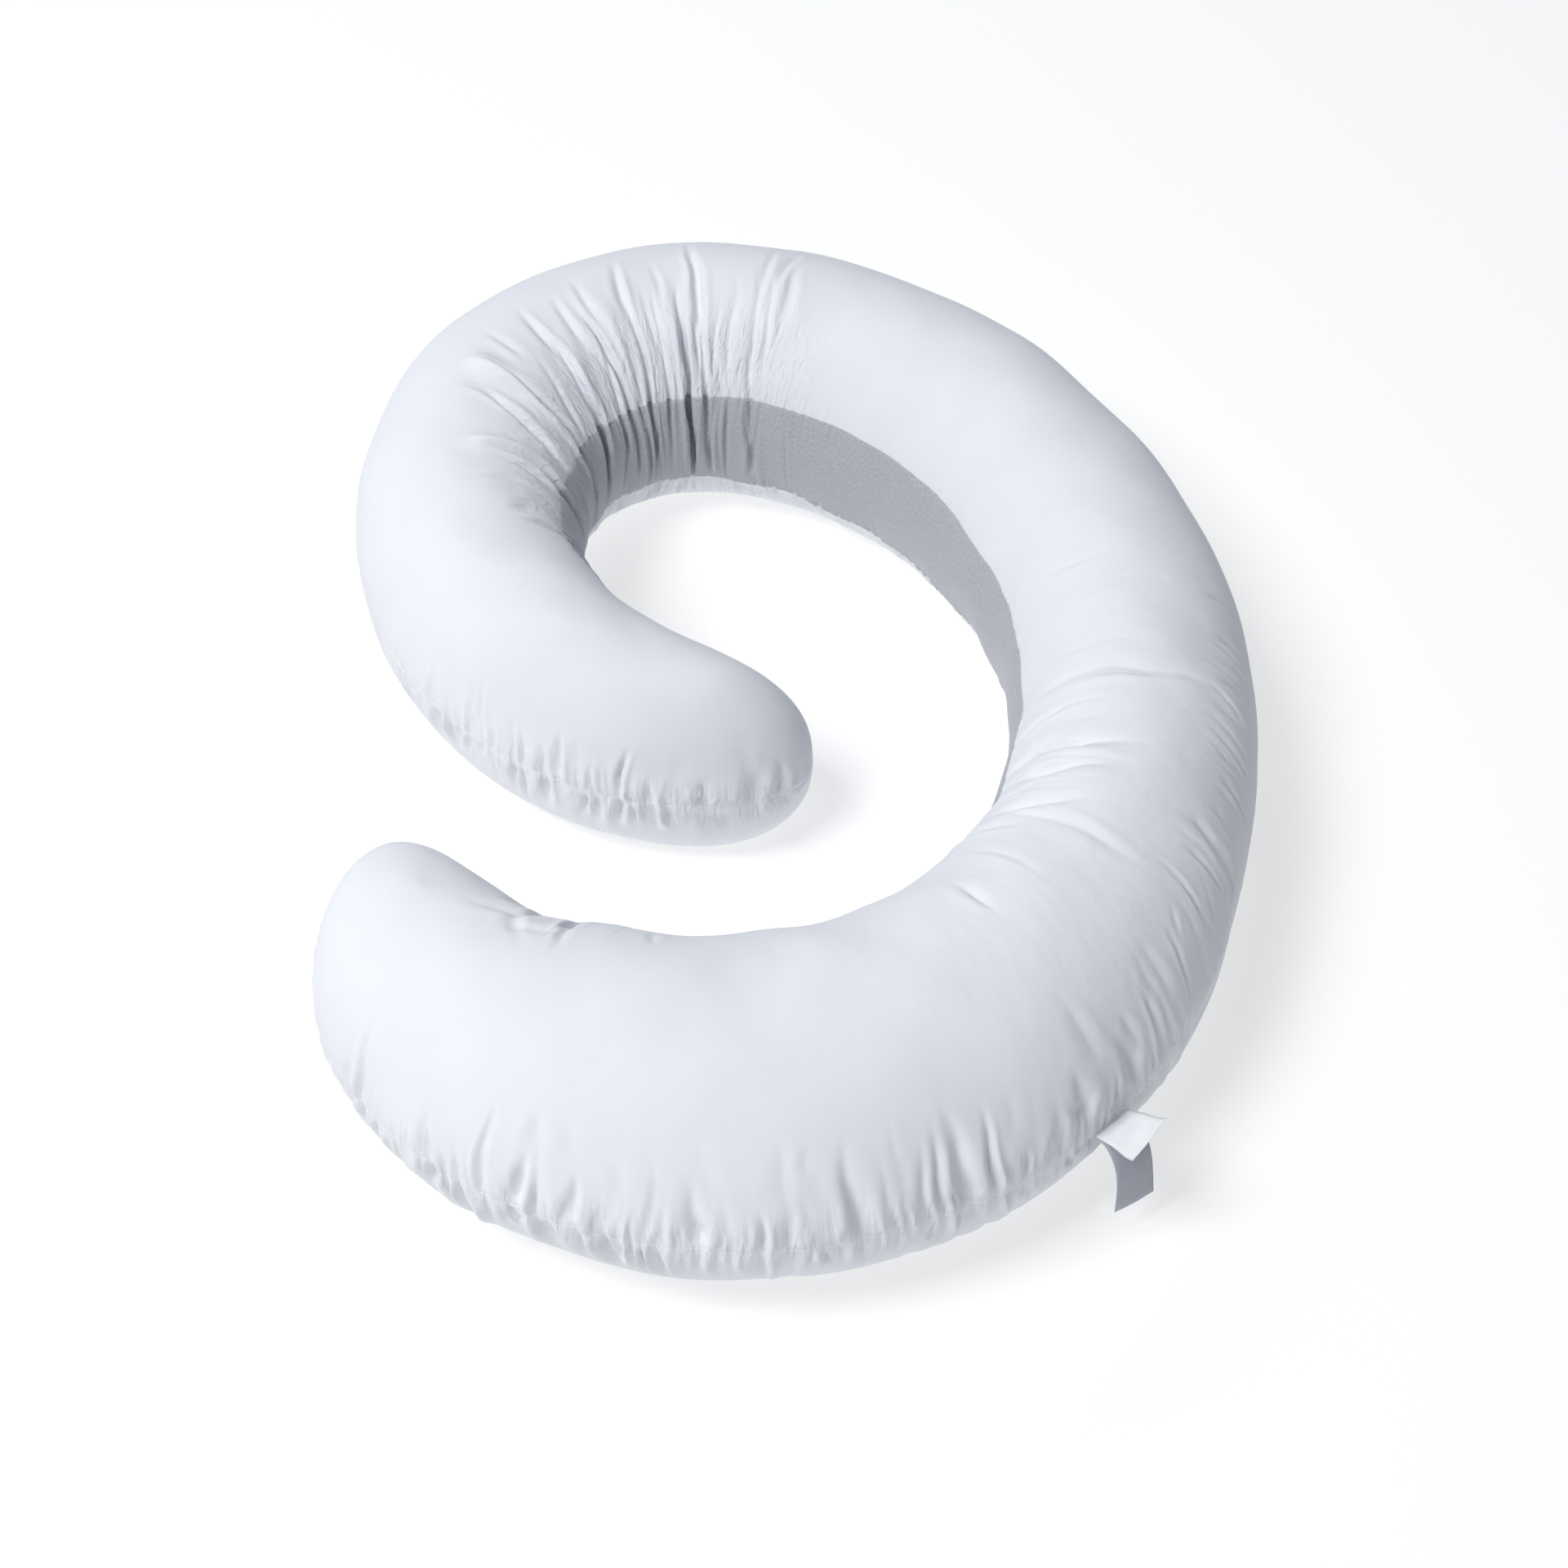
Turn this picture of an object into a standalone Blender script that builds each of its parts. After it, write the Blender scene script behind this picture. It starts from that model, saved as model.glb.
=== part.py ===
"""Full-body pillow: one long filled cotton tube curled round like a hook.

Run with blender --background --python part.py, or from Blender's text editor.
Metres, +Z up, floor at z = 0. The photograph's camera looks along +Y.

The tube is a run of closed sections along an axis that lies on the floor. A place on its skin is
given by the distance along the axis, from the wide free end to the curled-in end, and by an angle
round the section: 0 at the outer seam, 90 on top, 180 on the inner side, 270 underneath.
"""
import bmesh
import bpy
import numpy as np

# The axis seen from above, from the wide free end to the curled-in end
# x, y, width and height of the tube there
STATIONS = (
    (-0.386, -0.147, 0.174, 0.276),
    (-0.338, -0.270, 0.236, 0.268),
    (-0.256, -0.353, 0.282, 0.277),
    (-0.138, -0.406, 0.315, 0.281),
    (0.015, -0.410, 0.328, 0.281),
    (0.155, -0.352, 0.318, 0.280),
    (0.265, -0.240, 0.290, 0.280),
    (0.330, -0.100, 0.260, 0.280),
    (0.359, 0.050, 0.252, 0.280),
    (0.352, 0.200, 0.257, 0.280),
    (0.306, 0.347, 0.262, 0.280),
    (0.213, 0.495, 0.270, 0.280),
    (0.093, 0.596, 0.276, 0.280),
    (-0.050, 0.651, 0.280, 0.278),
    (-0.200, 0.632, 0.280, 0.278),
    (-0.312, 0.526, 0.270, 0.277),
    (-0.345, 0.377, 0.252, 0.275),
    (-0.311, 0.228, 0.232, 0.270),
    (-0.225, 0.121, 0.210, 0.258),
    (-0.107, 0.067, 0.182, 0.232),
    (0.030, 0.062, 0.140, 0.200),
)
BOX_CENTRE = (0.0077, 0.1078)

# The tube's section
SEAM_HEIGHT = 0.47
LOWER_FULLNESS = 1.12
BASE_BLEND = 0.008
FREE_END_CAP = 0.17
CURLED_END_CAP = 0.13
CAP_POWER = 2.4
TYPICAL_RADIUS = 0.14

# The outer seam's groove
SEAM_DEPTH = 0.003
SEAM_HALF_WIDTH = 0.008

# Folds pressed into the skin: where each starts and ends, how far along it is deepest (0 to 1),
# how deep it is there and how wide each side
# along, angle, along, angle, deepest, depth, half width
FOLDS = (
    # Gathers of the tight bend, running up from the inner band
    (2.56, 185, 2.54, 95, 0.45, 0.006, 0.008),
    (2.44, 200, 2.41, 84, 0.40, 0.010, 0.009),
    (2.39, 150, 2.31, 84, 0.35, 0.006, 0.008),
    (2.34, 203, 2.28, 78, 0.40, 0.014, 0.009),
    (2.26, 203, 2.19, 86, 0.40, 0.011, 0.008),
    (2.20, 200, 2.13, 100, 0.40, 0.005, 0.007),
    (2.15, 200, 2.14, 92, 0.40, 0.007, 0.007),
    (2.10, 204, 2.07, 80, 0.35, 0.009, 0.007),
    (2.05, 200, 2.04, 95, 0.40, 0.005, 0.007),
    (2.00, 206, 2.01, 95, 0.35, 0.014, 0.008),
    (1.96, 203, 1.99, 68, 0.30, 0.007, 0.007),
    (1.87, 204, 1.92, 70, 0.30, 0.006, 0.008),
    (1.86, 130, 1.88, 75, 0.50, 0.003, 0.008),
    # Slack folds across the right arm
    (1.11, 150, 1.11, 40, 0.50, 0.004, 0.012),
    (1.00, 155, 1.00, 75, 0.40, 0.005, 0.012),
    (0.955, 145, 0.97, 80, 0.40, 0.005, 0.011),
    (0.89, 145, 0.92, 85, 0.40, 0.004, 0.010),
    (0.95, 72, 0.95, 5, 0.65, 0.006, 0.010),
    (1.09, 60, 1.10, 22, 0.50, 0.003, 0.009),
    (0.75, 120, 0.74, 90, 0.50, 0.003, 0.008),
    # Gathers along the outer seam of the wide stretch
    (0.17, -15, 0.18, 25, 0.40, 0.005, 0.008),
    (0.26, -28, 0.26, 20, 0.50, 0.005, 0.008),
    (0.315, -32, 0.34, 36, 0.50, 0.007, 0.009),
    (0.36, -10, 0.37, 24, 0.50, 0.004, 0.008),
    (0.395, -32, 0.39, 24, 0.50, 0.006, 0.008),
    (0.45, -10, 0.44, 34, 0.40, 0.007, 0.009),
    (0.50, -10, 0.50, 20, 0.50, 0.004, 0.008),
    (0.55, -10, 0.54, 44, 0.40, 0.008, 0.009),
    (0.63, -25, 0.61, 48, 0.45, 0.009, 0.010),
    (0.71, 8, 0.71, 36, 0.35, 0.005, 0.009),
    (0.765, 8, 0.75, 38, 0.35, 0.005, 0.009),
    # Gathers along the outer seam of the curled-in end
    (2.72, -22, 2.73, 22, 0.50, 0.004, 0.008),
    (2.78, -18, 2.77, 24, 0.50, 0.004, 0.008),
    (2.84, -15, 2.835, 18, 0.50, 0.003, 0.008),
    (2.90, -22, 2.88, 54, 0.45, 0.006, 0.009),
    # The dent where the free end kinks, and its two creases
    (0.04, 135, 0.32, 145, 0.50, 0.020, 0.045),
    (0.15, 102, 0.25, 122, 0.60, 0.006, 0.009),
    (0.21, 104, 0.29, 116, 0.60, 0.005, 0.009),
)

# The inner band: its edges along the tube
# along, upper edge's angle, lower edge's angle
BAND_EDGES = (
    (0.16, 172, 188),
    (0.45, 158, 205),
    (1.10, 158, 208),
    (1.50, 155, 209),
    (1.90, 155, 203),
    (2.20, 155, 201),
    (2.40, 149, 202),
    (2.60, 143, 204),
    (2.80, 172, 188),
)
BAND_THICKNESS = 0.002
GAP = 0.0003
RECESS_RUN = 0.004
WALL_STEP = 0.15
EDGE_CLEARANCE = 0.13
OPEN_STEP = 3.0

# How finely the skin is divided: the rings' spacing up to a distance along the axis
# up to, spacing
RING_SPACING = (
    (0.17, 0.020),
    (0.80, 0.0185),
    (1.80, 0.026),
    (2.60, 0.0130),
    (2.82, 0.020),
)
CAP_RINGS = 7
SEAM_ROWS = (2.5, 7.0, 14.0)
UPPER_ROWS = 11
BAND_ROWS = 3
LOWER_ROWS = 9

# The two sewn-in labels
LABEL_ALONG = 0.735
LABEL_WIDTH = 0.045
LABEL_THICKNESS = 0.001
LABEL_STANDOFF = 0.0009
LABEL_SPREAD = 0.0009
LABEL_RINGS = 10
# How far out from the seam and how far up, along the front label and along the back one
FRONT_LABEL = ((0.0, 0.0), (0.010, 0.002), (0.022, 0.0035), (0.033, 0.0025), (0.043, 0.0045))
BACK_LABEL = ((0.0, 0.0), (0.010, -0.003), (0.020, -0.012), (0.029, -0.030), (0.034, -0.055),
              (0.037, -0.088))
# The front label's far corner is lifted, and the back one is turned as it hangs
FRONT_LABEL_LIFT = 0.022
LIFT_POWER = 1.3
BACK_LABEL_TWIST = 14.0

WHITE_COTTON = (0.84, 0.87, 0.92)
GREY_KNIT = (0.38, 0.39, 0.43)
WHITE_SATIN = (0.86, 0.88, 0.90)
GREY_SATIN = (0.55, 0.57, 0.62)
COTTON_ROUGHNESS = 0.75
KNIT_ROUGHNESS = 0.9
SATIN_ROUGHNESS = 0.5

# Small distances along the tube: for reading directions, and for comparing places
SMALL_STEP = 0.0002
TINY = 0.000001


def spline(knots, values, at):
    """Natural cubic spline through the values at the knots, read at the places asked for."""
    count = len(knots)
    gap = np.diff(knots)
    slope = np.diff(values, axis=0) / gap[:, None]
    system = np.eye(count)
    right = np.zeros_like(values)
    for i in range(1, count - 1):
        system[i, i - 1:i + 2] = gap[i - 1], 2 * (gap[i - 1] + gap[i]), gap[i]
        right[i] = 6 * (slope[i] - slope[i - 1])
    bend = np.linalg.solve(system, right)
    i = np.clip(np.searchsorted(knots, at) - 1, 0, count - 2)
    span = gap[i][..., None]
    u = (at - knots[i])[..., None]
    first = slope[i] - span * (2 * bend[i] + bend[i + 1]) / 6
    return values[i] + u * first + u**2 * bend[i] / 2 + u**3 * (bend[i + 1] - bend[i]) / (6 * span)


STATION_TABLE = np.array(STATIONS)
STEPS = np.linalg.norm(np.diff(STATION_TABLE[:, :2], axis=0), axis=1)
KNOTS = np.concatenate(([0.0], np.cumsum(STEPS)))
LENGTH = KNOTS[-1]
BAND_TABLE = np.array(BAND_EDGES)
BAND_START = BAND_TABLE[0, 0]
BAND_END = BAND_TABLE[-1, 0]


def fullness(along):
    """1 along the tube, falling to 0 at the two rounded ends."""
    free = np.clip(1 - along / FREE_END_CAP, 0, 1)
    curled = np.clip(1 - (LENGTH - along) / CURLED_END_CAP, 0, 1)
    return (1 - free**CAP_POWER) ** (1 / CAP_POWER) * (1 - curled**CAP_POWER) ** (1 / CAP_POWER)


def axis_frame(along):
    """The axis's place and size, and the direction straight out from it, seen from above."""
    here = spline(KNOTS, STATION_TABLE, along)
    behind = spline(KNOTS, STATION_TABLE, along - SMALL_STEP)
    ahead = (spline(KNOTS, STATION_TABLE, along + SMALL_STEP) - behind)[..., :2]
    ahead = ahead / np.linalg.norm(ahead, axis=-1, keepdims=True)
    return here, np.stack((ahead[..., 1], -ahead[..., 0]), axis=-1)


def skin(along, angle):
    """Points of the smooth skin, flat underneath where it rests."""
    along, angle = np.broadcast_arrays(along, angle)
    here, outward = axis_frame(along)
    height = here[..., 3]
    seam = SEAM_HEIGHT * height
    full = fullness(along)
    rise = np.sin(np.radians(angle))
    upper = seam + (height - seam) * rise
    lower = seam * (1 + LOWER_FULLNESS * rise)
    blended = (lower + BASE_BLEND) ** 2 / (4 * BASE_BLEND)
    lower = np.where(np.abs(lower) < BASE_BLEND, blended, np.maximum(lower, 0))
    level = seam + (np.where(rise >= 0, upper, lower) - seam) * full
    side = here[..., 2] / 2 * np.cos(np.radians(angle)) * full
    flat = here[..., :2] + outward * side[..., None] - np.array(BOX_CENTRE)
    return np.concatenate((flat, level[..., None]), axis=-1)


def skin_normal(along, angle):
    """Directions straight out of the smooth skin."""
    small_turn = np.degrees(SMALL_STEP)
    run = skin(along + SMALL_STEP, angle) - skin(along - SMALL_STEP, angle)
    turn = skin(along, angle + small_turn) - skin(along, angle - small_turn)
    normal = np.cross(run, turn)
    return normal / np.linalg.norm(normal, axis=-1, keepdims=True)


def fold_depth(along, angle):
    """How far the seam's groove and the folds press the skin in."""
    arc = np.radians((angle + 90) % 360 - 90) * TYPICAL_RADIUS
    depth = SEAM_DEPTH * np.exp(-(arc / SEAM_HALF_WIDTH) ** 2)
    for along_1, angle_1, along_2, angle_2, deepest, deep, half_width in FOLDS:
        start = np.array((along_1, np.radians(angle_1) * TYPICAL_RADIUS))
        run = np.array((along_2, np.radians(angle_2) * TYPICAL_RADIUS)) - start
        offset_along = along - start[0]
        offset_arc = arc - start[1]
        share = np.clip((offset_along * run[0] + offset_arc * run[1]) / (run @ run), 0, 1)
        apart = np.hypot(offset_along - share * run[0], offset_arc - share * run[1])
        ramp = np.where(share < deepest, share / deepest, (1 - share) / (1 - deepest))
        depth = depth + deep * ramp**2 * (3 - 2 * ramp) * np.exp(-(apart / half_width) ** 2)
    return depth * fullness(along)


def relief(along, angle, inset=0.0):
    """Points of the folded skin, moved straight in by the inset."""
    along, angle = np.broadcast_arrays(along, angle)
    inward = fold_depth(along, angle) + inset
    return skin(along, angle) - skin_normal(along, angle) * inward[..., None]


def ring_places():
    """Distances along the axis of the skin's rings, with one on every fold."""
    turns = np.radians(90) * np.arange(1, CAP_RINGS + 1) / CAP_RINGS
    places = list(FREE_END_CAP * (1 - np.cos(turns)))
    for limit, spacing in RING_SPACING:
        start = places[-1]
        count = max(round((limit - start) / spacing), 0)
        places += [start + (limit - start) * i / count for i in range(1, count + 1)]
    places += list(LENGTH - CURLED_END_CAP * (1 - np.cos(turns[:-1][::-1])))
    places = np.array(places)
    for fold in FOLDS:
        middle = fold[0] + (fold[2] - fold[0]) * fold[4]
        nearest = np.argmin(np.abs(places - middle))
        if FREE_END_CAP < middle < LENGTH - CURLED_END_CAP:
            places[nearest] = middle
    edges = (BAND_START, BAND_START + RECESS_RUN, BAND_END - RECESS_RUN, BAND_END)
    clear = np.min(np.abs(places[:, None] - np.array(edges)), axis=1) > RECESS_RUN
    return np.unique(np.concatenate((places[clear], edges)))


def band_edges(along):
    """Angles of the band's upper and lower edges."""
    held = np.clip(along, BAND_START, BAND_END)
    edges = spline(BAND_TABLE[:, 0], BAND_TABLE[:, 1:], held)
    return edges[..., 0], edges[..., 1]


def in_recess(along):
    """Where the skin is set back for the band."""
    return (along > BAND_START + RECESS_RUN - TINY) & (along < BAND_END - RECESS_RUN + TINY)


def evenly(first, last, count):
    """Angles between two others, leaving both of those out."""
    return [first + (last - first) * (i + 1) / (count + 1) for i in range(count)]


def body_rings(along):
    """The filled body's rings: rows of angles round the section, set back behind the band."""
    upper, lower = band_edges(along)
    recessed = (along > BAND_START - RECESS_RUN) & (along < BAND_END + RECESS_RUN)
    step = np.where(recessed, WALL_STEP, OPEN_STEP)
    flat = np.zeros_like(along)
    outer = [flat] + [flat + row for row in SEAM_ROWS]
    over = evenly(outer[-1], upper, UPPER_ROWS - 1) + [upper]
    behind = [upper + step] + evenly(upper + step, lower - step, BAND_ROWS) + [lower - step]
    under = [lower] + evenly(lower, flat + 360 - SEAM_ROWS[-1], LOWER_ROWS)
    back = [flat + 360 - row for row in reversed(SEAM_ROWS)]
    angles = np.stack(outer + over + behind + under + back, axis=1)
    inset = np.zeros_like(angles)
    first = len(outer) + len(over)
    inset[:, first:first + len(behind)] = np.where(in_recess(along), BAND_THICKNESS + GAP, 0.0)[:, None]
    return relief(along[:, None], angles, inset)


def band_rings(along):
    """The band's rings: its inner face's rows, then its outer face's rows back again."""
    middle = along[in_recess(along)]
    ends = (BAND_START + RECESS_RUN + 3 * GAP, BAND_END - RECESS_RUN - 3 * GAP)
    middle = np.concatenate((ends[:1], middle[1:-1], ends[1:]))
    upper, lower = band_edges(middle)
    between = evenly(upper + WALL_STEP, lower - WALL_STEP, BAND_ROWS)
    clear = WALL_STEP + EDGE_CLEARANCE
    angles = np.stack([upper + clear] + between + [lower - clear], axis=1)
    inner = relief(middle[:, None], angles, BAND_THICKNESS)
    outer = relief(middle[:, None], angles)
    return np.concatenate((inner, outer[:, ::-1]), axis=1)


def label_rings(profile, start_level, twist, lift):
    """A label's rings: thin sections across its width, from the seam outwards."""
    root = relief(np.array((LABEL_ALONG,)), np.zeros(1))[0]
    sides = skin(LABEL_ALONG + LABEL_WIDTH / 3 * np.array((-1, 1)), np.zeros(2))
    straight = (sides[1] - sides[0])[:2]
    straight /= np.linalg.norm(straight)
    outward = np.array((straight[1], -straight[0]))
    shares = np.linspace(0.0, 1.0, LABEL_RINGS)
    places = spline(np.linspace(0.0, 1.0, len(profile)), np.array(profile), shares)
    rings = []
    for i, (out, up) in enumerate(places):
        share = shares[i]
        run = places[min(i + 1, LABEL_RINGS - 1)] - places[max(i - 1, 0)]
        run /= np.linalg.norm(run)
        turn = np.radians(twist) * share
        across = straight * np.cos(turn) + outward * np.sin(turn)
        centre = root + np.append(outward * (LABEL_STANDOFF + out), start_level + up)
        face = np.append(outward * -run[1], run[0]) * LABEL_THICKNESS / 2
        near = centre - np.append(across, 0.0) * LABEL_WIDTH / 2
        far = centre + np.append(across * LABEL_WIDTH / 2, lift * share**LIFT_POWER)
        rings.append((near - face, far - face, far + face, near + face))
    return np.array(rings)


def plain_material(name, colour, roughness):
    """A Principled material of one colour."""
    material = bpy.data.materials.new(name)
    material.use_nodes = True
    shader = material.node_tree.nodes["Principled BSDF"]
    shader.inputs["Base Color"].default_value = (*colour, 1.0)
    shader.inputs["Roughness"].default_value = roughness
    shader.inputs["Metallic"].default_value = 0.0
    return material


def close_round_end(bm, ring, tip):
    """Closes a round end on one point."""
    pole = bm.verts.new(tip)
    for vertex, following in zip(ring, ring[1:] + ring[:1]):
        bm.faces.new((vertex, following, pole))


def close_sheet_end(bm, ring):
    """Closes a thin sheet's end, joining the rows of its two faces."""
    for i in range(len(ring) // 2 - 1):
        bm.faces.new((ring[i], ring[i + 1], ring[-2 - i], ring[-1 - i]))


def loft(name, rings, colour, roughness, tips=None):
    """A closed solid through rings of equal point counts, with round ends at tips or sheet ends."""
    bm = bmesh.new()
    rows = [[bm.verts.new(point) for point in ring] for ring in rings]
    for row, following in zip(rows, rows[1:]):
        for i in range(len(row)):
            j = (i + 1) % len(row)
            if tips is None and i >= len(row) // 2:
                # A sheet's second face is split along the same diagonals as its first
                bm.faces.new((row[i], following[i], row[j]))
                bm.faces.new((following[i], following[j], row[j]))
            else:
                bm.faces.new((row[i], following[i], following[j]))
                bm.faces.new((row[i], following[j], row[j]))
    for row, end in ((rows[0], 0), (rows[-1], 1)):
        if tips is None:
            close_sheet_end(bm, row)
        else:
            close_round_end(bm, row, tips[end])
    bmesh.ops.recalc_face_normals(bm, faces=bm.faces)
    for face in bm.faces:
        face.smooth = True
    mesh = bpy.data.meshes.new(name)
    bm.to_mesh(mesh)
    bm.free()
    mesh.materials.append(plain_material(name + "_material", colour, roughness))
    piece = bpy.data.objects.new(name, mesh)
    bpy.context.collection.objects.link(piece)
    return piece


def build_filled_body(along):
    """The two white cotton panels and their filling, as one solid."""
    tips = relief(np.array((TINY, LENGTH - TINY)), np.zeros(2))
    loft("filled_body", body_rings(along), WHITE_COTTON, COTTON_ROUGHNESS, tips)


def build_inner_band(along):
    """The grey knit panel sewn along the inner side."""
    loft("inner_band", band_rings(along), GREY_KNIT, KNIT_ROUGHNESS)


def build_labels():
    """The two labels caught in the outer seam, one over the other."""
    front = label_rings(FRONT_LABEL, LABEL_SPREAD, 0.0, FRONT_LABEL_LIFT)
    back = label_rings(BACK_LABEL, -LABEL_SPREAD, BACK_LABEL_TWIST, 0.0)
    loft("label_front", front, WHITE_SATIN, SATIN_ROUGHNESS)
    loft("label_back", back, GREY_SATIN, SATIN_ROUGHNESS)


def main():
    for piece in list(bpy.data.objects):
        bpy.data.objects.remove(piece, do_unlink=True)
    along = ring_places()
    build_filled_body(along)
    build_inner_band(along)
    build_labels()


if __name__ == "__main__":
    main()
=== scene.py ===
"""Dresses the full-body pillow: its cotton cover, its grey inner band, two labels and a studio stage."""
import math

import bmesh
import bpy
import mathutils
import numpy as np
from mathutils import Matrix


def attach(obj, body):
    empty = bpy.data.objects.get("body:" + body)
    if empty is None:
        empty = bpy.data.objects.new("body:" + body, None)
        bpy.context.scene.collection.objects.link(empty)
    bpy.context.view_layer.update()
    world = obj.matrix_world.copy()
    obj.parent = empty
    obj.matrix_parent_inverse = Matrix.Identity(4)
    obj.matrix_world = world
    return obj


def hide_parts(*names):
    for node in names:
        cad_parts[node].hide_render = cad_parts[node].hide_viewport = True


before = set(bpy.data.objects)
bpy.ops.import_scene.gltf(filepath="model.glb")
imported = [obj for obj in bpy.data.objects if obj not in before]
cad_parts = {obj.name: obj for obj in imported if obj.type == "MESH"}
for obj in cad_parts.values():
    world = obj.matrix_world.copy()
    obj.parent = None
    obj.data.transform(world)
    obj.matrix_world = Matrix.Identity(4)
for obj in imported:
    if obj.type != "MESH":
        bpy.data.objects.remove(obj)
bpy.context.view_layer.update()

bl_info = {
    "name": "Full-body pillow",
    "version": (1, 0, 0),
    "blender": (4, 5, 0),
    "location": "View3D > Sidebar > Pillow",
    "description": "Sews, fills and dresses a long curled cotton body pillow",
    "category": "Add Mesh",
}

# The axis seen from above, from the wide free end to the curled-in end
# x, y, width and height of the tube there
STATIONS = (
    (-0.386, -0.147, 0.174, 0.276),
    (-0.338, -0.270, 0.236, 0.268),
    (-0.256, -0.353, 0.282, 0.277),
    (-0.138, -0.406, 0.315, 0.281),
    (0.015, -0.410, 0.328, 0.281),
    (0.155, -0.352, 0.318, 0.280),
    (0.265, -0.240, 0.290, 0.280),
    (0.330, -0.100, 0.260, 0.280),
    (0.359, 0.050, 0.252, 0.280),
    (0.352, 0.200, 0.257, 0.280),
    (0.306, 0.347, 0.262, 0.280),
    (0.213, 0.495, 0.270, 0.280),
    (0.093, 0.596, 0.276, 0.280),
    (-0.050, 0.651, 0.280, 0.278),
    (-0.200, 0.632, 0.280, 0.278),
    (-0.312, 0.526, 0.270, 0.277),
    (-0.345, 0.377, 0.252, 0.275),
    (-0.311, 0.228, 0.232, 0.270),
    (-0.225, 0.121, 0.210, 0.258),
    (-0.107, 0.067, 0.182, 0.232),
    (0.030, 0.062, 0.140, 0.200),
)
BOX_CENTRE = (0.0077, 0.1078)

# The tube's section
SEAM_HEIGHT = 0.47
LOWER_FULLNESS = 1.12
BASE_BLEND = 0.008
FREE_END_CAP = 0.17
CURLED_END_CAP = 0.13
CAP_POWER = 2.4
TYPICAL_RADIUS = 0.14

# The inner band's edges along the tube
# along, upper edge's angle, lower edge's angle
BAND_EDGES = (
    (0.16, 172, 188),
    (0.45, 158, 205),
    (1.10, 158, 208),
    (1.50, 155, 209),
    (1.90, 155, 203),
    (2.20, 155, 201),
    (2.40, 149, 202),
    (2.60, 143, 204),
    (2.80, 172, 188),
)

# Main folds: where each starts and ends, how far along it is deepest (0 to 1), its depth and half width.
# They are the solids' folds too. Angles are in degrees round the tube: 0 at the outer seam, 90 on top
# along, angle, along, angle, deepest, depth, half width
MAIN_FOLDS = (
    # Gathers of the tight bend, running up from the inner band
    (2.56, 185, 2.54, 95, 0.45, 0.006, 0.008),
    (2.44, 200, 2.41, 84, 0.40, 0.010, 0.009),
    (2.39, 150, 2.31, 84, 0.35, 0.006, 0.008),
    (2.34, 203, 2.28, 78, 0.40, 0.014, 0.009),
    (2.26, 203, 2.19, 86, 0.40, 0.011, 0.008),
    (2.20, 200, 2.13, 100, 0.40, 0.005, 0.007),
    (2.15, 200, 2.14, 92, 0.40, 0.007, 0.007),
    (2.10, 204, 2.07, 80, 0.35, 0.009, 0.007),
    (2.05, 200, 2.04, 95, 0.40, 0.005, 0.007),
    (2.00, 206, 2.01, 95, 0.35, 0.014, 0.008),
    (1.96, 203, 1.99, 68, 0.30, 0.007, 0.007),
    (1.87, 204, 1.92, 70, 0.30, 0.006, 0.008),
    (1.86, 130, 1.88, 75, 0.50, 0.003, 0.008),
    # Slack folds across the right arm
    (1.11, 150, 1.11, 40, 0.50, 0.004, 0.012),
    (1.00, 155, 1.00, 75, 0.40, 0.005, 0.012),
    (0.955, 145, 0.97, 80, 0.40, 0.005, 0.011),
    (0.89, 145, 0.92, 85, 0.40, 0.004, 0.010),
    (0.95, 72, 0.95, 5, 0.65, 0.006, 0.010),
    (1.09, 60, 1.10, 22, 0.50, 0.003, 0.009),
    (0.75, 120, 0.74, 90, 0.50, 0.003, 0.008),
    # Gathers along the outer seam of the wide stretch
    (0.17, -15, 0.18, 25, 0.40, 0.005, 0.008),
    (0.26, -28, 0.26, 20, 0.50, 0.005, 0.008),
    (0.315, -32, 0.34, 36, 0.50, 0.007, 0.009),
    (0.36, -10, 0.37, 24, 0.50, 0.004, 0.008),
    (0.395, -32, 0.39, 24, 0.50, 0.006, 0.008),
    (0.45, -10, 0.44, 34, 0.40, 0.007, 0.009),
    (0.50, -10, 0.50, 20, 0.50, 0.004, 0.008),
    (0.55, -10, 0.54, 44, 0.40, 0.008, 0.009),
    (0.63, -25, 0.61, 48, 0.45, 0.009, 0.010),
    (0.71, 8, 0.71, 36, 0.35, 0.005, 0.009),
    (0.765, 8, 0.75, 38, 0.35, 0.005, 0.009),
    # Gathers along the outer seam of the curled-in end
    (2.72, -22, 2.73, 22, 0.50, 0.004, 0.008),
    (2.78, -18, 2.77, 24, 0.50, 0.004, 0.008),
    (2.84, -15, 2.835, 18, 0.50, 0.003, 0.008),
    (2.90, -22, 2.88, 54, 0.45, 0.006, 0.009),
    # The creases where the free end kinks
    (0.15, 102, 0.25, 122, 0.60, 0.003, 0.009),
    (0.21, 104, 0.29, 116, 0.60, 0.003, 0.009),
)
# The dent where the free end kinks
DENTS = (
    (0.04, 135, 0.32, 145, 0.50, 0.020, 0.045),
)

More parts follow.
